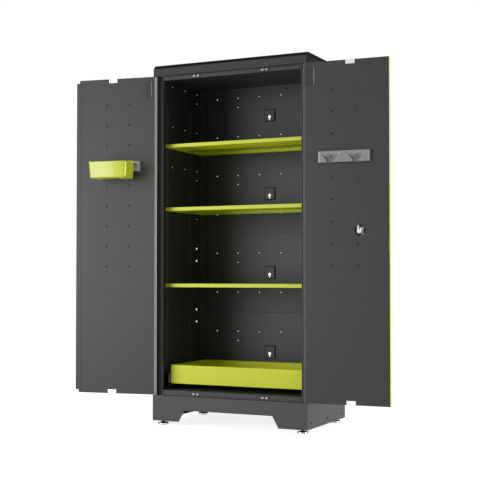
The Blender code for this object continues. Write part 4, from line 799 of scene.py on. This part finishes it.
def pan_head(radius, height):
    """A pan-head screw seen from its axis: rings out from the middle at height * (1 - r^4), with
    a cross recess where the angle is near a quarter turn and the ring is small, then a shank."""
    sides = 24
    angle = 2 * np.pi * np.arange(sides) / sides
    across = np.array((0.0, 0.12, 0.24, 0.36, 0.48, 0.52, 0.7, 0.85, 0.95, 1.0, 1.0, 0.5, 0.5, 0.0))
    crown = height * (1 - across ** 4)
    crown[-4:] = (0.0, 0.0, -0.003, -0.003)
    recess_depth = 0.55 * height
    sunk = recess_depth * np.where(across[:, None] < 0.5, np.abs(np.cos(2 * angle)) ** 6, 0.0)
    sunk[0] = recess_depth
    sunk[-4:] = 0.0
    points = np.stack((radius * across[:, None] * np.cos(angle),
                       radius * across[:, None] * np.sin(angle),
                       crown[:, None] - sunk), axis=-1)
    return points.reshape(-1, 3), quads(len(across), sides)[:, ::-1]


up = np.array(UP)
rail_skin = surface_group("rail_skin", MOULDED_GRAIN, MOULDED_GRAIN_HEIGHT, RAIL_DRIFT, RAIL_FOLD,
                          RAIL_HIGHLIGHT_GAIN)
screw_black = finished("blackened_screw", powder_coat, SCREW_BLACK, SCREW_GLOSS,
                       metal=SCREW_METAL)
for label, (along, out) in doors.items():
    name = "tool_rail_" + label
    ends, faces, heights = (reach(name, way) for way in (along, out, up))
    length, height = ends[1] - ends[0], heights[1] - heights[0]
    origin = along * np.mean(ends) + out * faces[0] + up * np.mean(heights)
    ways = (along, out, up)

    def recess(tree, out=out, back=faces[0]):
        """A mask of painted shade in the pockets: 0 on the rail's front, rising evenly to 1 at the
        pockets' depth.
        """
        return node(tree, "ShaderNodeMapRange", [
            ("Value", place_along(tree, out)), ("From Min", back + RAIL_DEPTH - SHEET),
            ("From Max", back + RAIL_DEPTH - POCKET_DEPTH),
        ]).outputs["Result"]

    rail_plastic = finished(name + "_plastic", rail_skin, RAIL_GREY, RAIL_GLOSS, RECESS_SHADE,
                            recess, coat=RAIL_COAT)
    make_piece(name + "_body", placed(*rail_surface(length, height), origin, ways),
               rail_plastic, "door_" + label, "grey_plastic", name)
    spots = [origin + along * middle + up * SQUARE_HEIGHT + out * SQUARE[1]
             for middle in (-POCKET_PITCH / 2, POCKET_PITCH / 2)]
    screws = gathered([placed(*pan_head(*RAIL_SCREW), spot, (along, up, out)) for spot in spots])
    make_piece(name + "_screws", screws, screw_black, "door_" + label, "zinc")


# Hang-on bin
# A tapered lime tub, injection moulded, with round corners, a thin lip and a hook that hangs on
# the left rail. The tub, the hook and the two feet replace the CAD solid.
TUB_LIME = (0.58, 0.66, 0.012, 1.0)
TUB_GLOSS = 0.20
TUB_COAT = 0.3
TUB_LENGTH = 0.210
TUB_DEPTH = 0.120
TUB_HEIGHT = 0.083
TUB_TAPER = 0.006
TUB_WALL = 0.0022
TUB_CORNER = 0.016
TUB_FLOOR_ROUND = 0.006
HOOK_RISE = 0.0128
HOOK_LENGTH = 0.180
HOOK_STEEL = 0.0020
HOOK_BACK = 0.0096
HOOK_DROP = 0.011
HOOK_SUNK = 0.006
HOOK_BEND = 0.002
HOOK_END_ROUND = 0.0007
LIP_HEIGHT = 0.0035
LIP_PROUD = 0.0009
TUB_FOOT = (0.012, 0.060, 0.003)
FOOT_CORNER = 0.002
FOOT_EDGE = 0.001


def rounded_rings(half_long, half_wide, corner, height, shift, steps=7):
    """One rectangle with round corners per row, anticlockwise: each corner's centre plus its
    radius times (cos, sin) of a quarter turn. Shift moves a row along the second direction. The
    first and the last rows are closed by their middle points."""
    spot = np.arange(4 * steps)
    quarter = spot // steps
    angle = np.radians(90 * quarter + 90 * (spot % steps) / (steps - 1))
    across = np.array((1, -1, -1, 1))[quarter]
    up = np.array((1, 1, -1, -1))[quarter]
    long_side, wide_side, radius, level, move = (
        np.asarray(values, float)[:, None]
        for values in (half_long, half_wide, corner, height, shift)
    )
    first = across * (long_side - radius) + radius * np.cos(angle)
    second = up * (wide_side - radius) + radius * np.sin(angle) + move
    third = np.broadcast_to(level, first.shape)
    rings = np.stack((first, second, third), axis=-1)
    middles = np.broadcast_to(rings.mean(axis=1, keepdims=True), rings.shape)
    rings = np.concatenate((middles[:1], rings, middles[-1:]))
    return rings.reshape(-1, 3), quads(len(rings), 4 * steps)


def tub_surface():
    """The tub from its underside's middle, up outside, over the lip and down inside. Each row is
    a rounded rectangle that shrinks downwards by the taper, and its back stays upright."""
    arc = np.radians(np.linspace(0, 90, 5))
    foot = TUB_FLOOR_ROUND * (1 - np.sin(arc))
    rise = TUB_FLOOR_ROUND * (1 - np.cos(arc))
    middle = [TUB_DEPTH / 2 - TUB_FLOOR_ROUND]
    inset = np.concatenate((
        middle, foot, [0, 0, -LIP_PROUD, -LIP_PROUD, -LIP_PROUD / 2],
        [TUB_WALL / 2, TUB_WALL, TUB_WALL], TUB_WALL + foot[::-1], middle,
    ))
    lip_low = TUB_HEIGHT - LIP_HEIGHT
    height = np.concatenate((
        [0.0], rise, [lip_low / 2, lip_low - 0.0004, lip_low, TUB_HEIGHT - 0.0008, TUB_HEIGHT],
        [TUB_HEIGHT, TUB_HEIGHT - 0.0006, lip_low / 2], TUB_WALL + rise[::-1], [TUB_WALL],
    ))
    taper = TUB_TAPER * (1 - height / TUB_HEIGHT)
    half_long = TUB_LENGTH / 2 - LIP_PROUD - taper - inset
    half_wide = (TUB_DEPTH - taper) / 2 - LIP_PROUD - inset
    corner = np.minimum(np.clip(TUB_CORNER - inset, 0.0004, None), half_wide - 0.0002)
    return rounded_rings(half_long, half_wide, corner, height, (TUB_DEPTH - taper) / 2)


def strip(outline, span):
    """A closed outline drawn out along the first direction. Its rows are the outline, drawn in by
    a few hundredths at both ends so that they are rounded, and its middle point at each end."""
    middle = outline.mean(axis=0)
    low, high = span
    stations = ((low, 0.0), (low, 0.94), (low + HOOK_END_ROUND, 1.0),
                (high - HOOK_END_ROUND, 1.0), (high, 0.94), (high, 0.0))
    layers = [np.column_stack((np.full(len(outline), at), middle + (outline - middle) * size))
              for at, size in stations]
    return np.concatenate(layers), quads(len(layers), len(outline))[:, ::-1]


def bent_strip(path, thickness):
    """A bent strip's outline: the path offset to both sides along its mean normals."""
    steps = np.gradient(path, axis=0)
    normal = np.column_stack((-steps[:, 1], steps[:, 0]))
    normal /= np.linalg.norm(normal, axis=1)[:, None]
    return np.concatenate((path + normal * thickness / 2, (path - normal * thickness / 2)[::-1]))


along, out = doors["left"]
tub_place = (along * np.mean(reach("bin", along)) + out * (reach("bin", out)[1] - TUB_DEPTH)
             + up * (reach("bin", up)[1] - HOOK_RISE - TUB_HEIGHT))
tub_directions = (along, out, up)
tub_plastic = finished("tub_plastic", moulded, TUB_LIME, TUB_GLOSS, coat=TUB_COAT)
make_piece("bin_tub", placed(*tub_surface(), tub_place, tub_directions), tub_plastic, "bin",
           "lime_plastic", "bin")

hook_top = TUB_HEIGHT + HOOK_RISE - HOOK_STEEL / 2
hook_front = TUB_WALL / 2 + LIP_PROUD
hook_back = -HOOK_BACK
turn = np.radians(np.linspace(0, 90, 6))
front_bend = np.column_stack((hook_front - HOOK_BEND + HOOK_BEND * np.cos(turn),
                              hook_top - HOOK_BEND + HOOK_BEND * np.sin(turn)))
back_bend = np.column_stack((hook_back + HOOK_BEND - HOOK_BEND * np.sin(turn),
                             hook_top - HOOK_BEND + HOOK_BEND * np.cos(turn)))
hook_path = np.concatenate((
    [(hook_front, TUB_HEIGHT - HOOK_SUNK), (hook_front, hook_top - 2 * HOOK_BEND)],
    front_bend, back_bend,
    [(hook_back, hook_top - 2 * HOOK_BEND), (hook_back, hook_top - HOOK_DROP)],
))
hook = strip(bent_strip(hook_path, HOOK_STEEL), (-HOOK_LENGTH / 2, HOOK_LENGTH / 2))
make_piece("bin_hook", placed(*hook, tub_place, tub_directions), tub_plastic, "bin",
           "lime_plastic")

wide, long, deep = TUB_FOOT
foot_points, foot_faces = rounded_rings(
    np.array((FOOT_EDGE, wide / 2 - FOOT_EDGE, wide / 2, wide / 2)),
    np.array((FOOT_EDGE, long / 2 - FOOT_EDGE, long / 2, long / 2)),
    np.array((FOOT_EDGE / 2, FOOT_CORNER, FOOT_CORNER, FOOT_CORNER)),
    np.array((-deep, -deep, FOOT_EDGE - deep, FOOT_EDGE)),
    np.full(4, TUB_DEPTH / 2 - TUB_TAPER / 2), 4,
)
foot_at = TUB_LENGTH / 2 - 3.5 * wide
feet = [(foot_points + (side * foot_at, 0.0, 0.0), foot_faces) for side in (-1, 1)]
make_piece("bin_feet", placed(*gathered(feet), tub_place, tub_directions), tub_plastic, "bin",
           "lime_plastic")


# Lock in the right door
# A turned zinc barrel and escutcheon with a black handle outside. Inside, a zinc cam pulls two
# flat rods; the lower one is painted darker than the upper, as painted shade. Nylon guides hold
# the rods.
LOCK_METALS = (
    ("lock_barrel", (0.50, 0.50, 0.52, 1.0), 0.25, ("lock_housing",)),
    ("cam_zinc", (0.85, 0.85, 0.86, 1.0), 0.22, ("lock_cam", "key_plug")),
    ("upper_rod_zinc", (0.52, 0.52, 0.53, 1.0), 0.3, ("lock_rod_upper",)),
    # The lower rod's zinc is painted dark, as painted shade.
    ("rod_zinc", (0.12, 0.12, 0.125, 1.0), 0.5, ("lock_rod_lower",)),
)
HANDLE_GLOSS = 0.28
HANDLE_COAT = 0.2
NYLON = (0.6, 0.59, 0.56, 1.0)
NYLON_GLOSS = 0.45
for name, colour, gloss, dressed in LOCK_METALS:
    dress(finished(name, zinc_group, colour, gloss, metal=1.0), *dressed)
dress(finished("handle_plastic", moulded, BLACK, HANDLE_GLOSS, coat=HANDLE_COAT), "lock_handle")
dress(finished("guide_nylon", moulded, NYLON, NYLON_GLOSS), "rod_guide_upper", "rod_guide_lower")


# Levelling feet
# A chrome-plated domed disc with a rolled rim and a hex to turn it by, and a zinc-plated threaded
# stud that screws into the base. The two pieces of each foot replace the CAD solid.
CHROME = (0.86, 0.86, 0.87, 1.0)
CHROME_GLOSS = 0.10
CHROME_DARK = ((0.03, 0.03, 0.031, 1.0), 0.3, 1.0)
FOOT_SIDES = 48
DOME = ((0.0, 0.0), (0.0258, 0.0), (0.0272, 0.0008), (0.0280, 0.0026), (0.0280, 0.0064),
        (0.0270, 0.0082), (0.0245, 0.0094), (0.0205, 0.0102), (0.0160, 0.0106), (0.0118, 0.0108))
HEX_FLAT = 0.0091
HEX_LOW = 0.0112
HEX_HIGH = 0.0202
HEX_CHAMFER = 0.001
STUD_RADIUS = 0.0049
THREAD_DEPTH = 0.0007
THREAD_PITCH = 0.0015
RIM_MIDDLE = 0.0050
RIM_BAND = 0.0022


def rim_edges(tree):
    """0 on a band round the middle of the disc's rim, and 1 above and below it, where the chrome
    mirrors the dark base and its own shadow."""
    offset = compute(tree, "SUBTRACT", place_along(tree, UP), RIM_MIDDLE)
    return compute(tree, "GREATER_THAN", compute(tree, "ABSOLUTE", offset), RIM_BAND)


chrome = finished("chrome", zinc_group, CHROME, CHROME_GLOSS, CHROME_DARK, rim_edges, metal=1.0)


def foot_surface():
    """The dome turned round its axis, then a hexagon: its radius at an angle is the flat's
    distance over the cosine of the angle from the nearest flat's middle, cut by a cone."""
    angle = 2 * np.pi * np.arange(FOOT_SIDES) / FOOT_SIDES
    dome = np.array(DOME)
    cone = np.array((0.0097, 0.0106, 0.0106, 0.0096, 0.0))[:, None]
    hex_height = np.array((HEX_LOW, HEX_LOW + HEX_CHAMFER, HEX_HIGH - HEX_CHAMFER, HEX_HIGH,
                           HEX_HIGH))
    from_flat = (angle + np.pi / 6) % (np.pi / 3) - np.pi / 6
    radius = np.concatenate((np.repeat(dome[:, :1], FOOT_SIDES, axis=1),
                             np.minimum(HEX_FLAT / np.cos(from_flat), cone)))
    height = np.concatenate((dome[:, 1], hex_height))[:, None]
    points = np.stack((radius * np.cos(angle), radius * np.sin(angle),
                       np.broadcast_to(height, radius.shape)), axis=-1)
    return points.reshape(-1, 3), quads(len(radius), FOOT_SIDES)


def thread_surface(low, high):
    """A threaded stud: the radius less half the depth times 1 - cos(full turns of the height over
    the pitch, less the angle), closed by its middle point at both ends."""
    sides, per_turn = 24, 6
    angle = 2 * np.pi * np.arange(sides) / sides
    height = np.linspace(low, high, int((high - low) / THREAD_PITCH * per_turn))[:, None]
    swing = 1 - np.cos(2 * np.pi * height / THREAD_PITCH - angle)
    radius = np.pad(STUD_RADIUS - THREAD_DEPTH / 2 * swing, ((1, 1), (0, 0)))
    level = np.broadcast_to(np.pad(height, ((1, 1), (0, 0)), mode="edge"), radius.shape)
    points = np.stack((radius * np.cos(angle), radius * np.sin(angle), level), axis=-1)
    return points.reshape(-1, 3), quads(len(radius), sides)


for end in ("front", "rear"):
    for label in doors:
        name = "foot_" + end + "_" + label
        low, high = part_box(name)
        centre = ((low[0] + high[0]) / 2, (low[1] + high[1]) / 2, low[2])
        make_piece(name + "_pad", placed(*foot_surface(), centre, np.identity(3)), chrome, name,
                   "chrome", name)
        stud = thread_surface(HEX_HIGH - HEX_CHAMFER, high[2] - low[2])
        make_piece(name + "_stud", placed(*stud, centre, np.identity(3)), zinc, name, "zinc")


# Screws of the base and the cap
# Three blackened pan-head screws hold each base side to the frame inside, and three small ones
# hold the cap at its front corners. Their axes run across the cabinet.
BASE_SCREW = (0.0050, 0.0020)
BASE_SCREW_IN = 0.051
BASE_SCREW_HEIGHT = 0.049
CAP_SCREW = (0.0026, 0.0012)
CAP_SCREWS = ((0.051, -0.026), (0.012, -0.035), (0.069, -0.047))
FRAME_SCREW = (0.004, 0.004, 0.004, 1.0)
FRAME_SCREW_GLOSS = 0.7
FRAME_SCREW_SPECULAR = 0.1
frame_screw = finished("frame_screw_black", powder_coat, FRAME_SCREW, FRAME_SCREW_GLOSS,
                       specular=FRAME_SCREW_SPECULAR)
side_low, side_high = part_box("base_side_right")
base_screw_depths = (front_low[1] + BASE_SCREW_IN, (side_low[1] + side_high[1]) / 2,
                     side_high[1] - BASE_SCREW_IN)
for side, label in ((-1, "left"), (1, "right")):
    ways = (-np.array(FORWARDS), up, np.array((side, 0.0, 0.0)))
    base_face = front_high[0] if side > 0 else front_low[0]
    cap_face = cap_high[0] if side > 0 else cap_low[0]
    base_spots = [(base_face, depth, BASE_SCREW_HEIGHT) for depth in base_screw_depths]
    cap_spots = [(cap_face, cap_low[1] + back, cap_high[2] + drop) for back, drop in CAP_SCREWS]
    for name, size, spots in (("base_screws_", BASE_SCREW, base_spots),
                              ("cap_screws_", CAP_SCREW, cap_spots)):
        heads = gathered([placed(*pan_head(*size), spot, ways) for spot in spots])
        make_piece(name + label, heads, frame_screw, "carcass", "zinc")
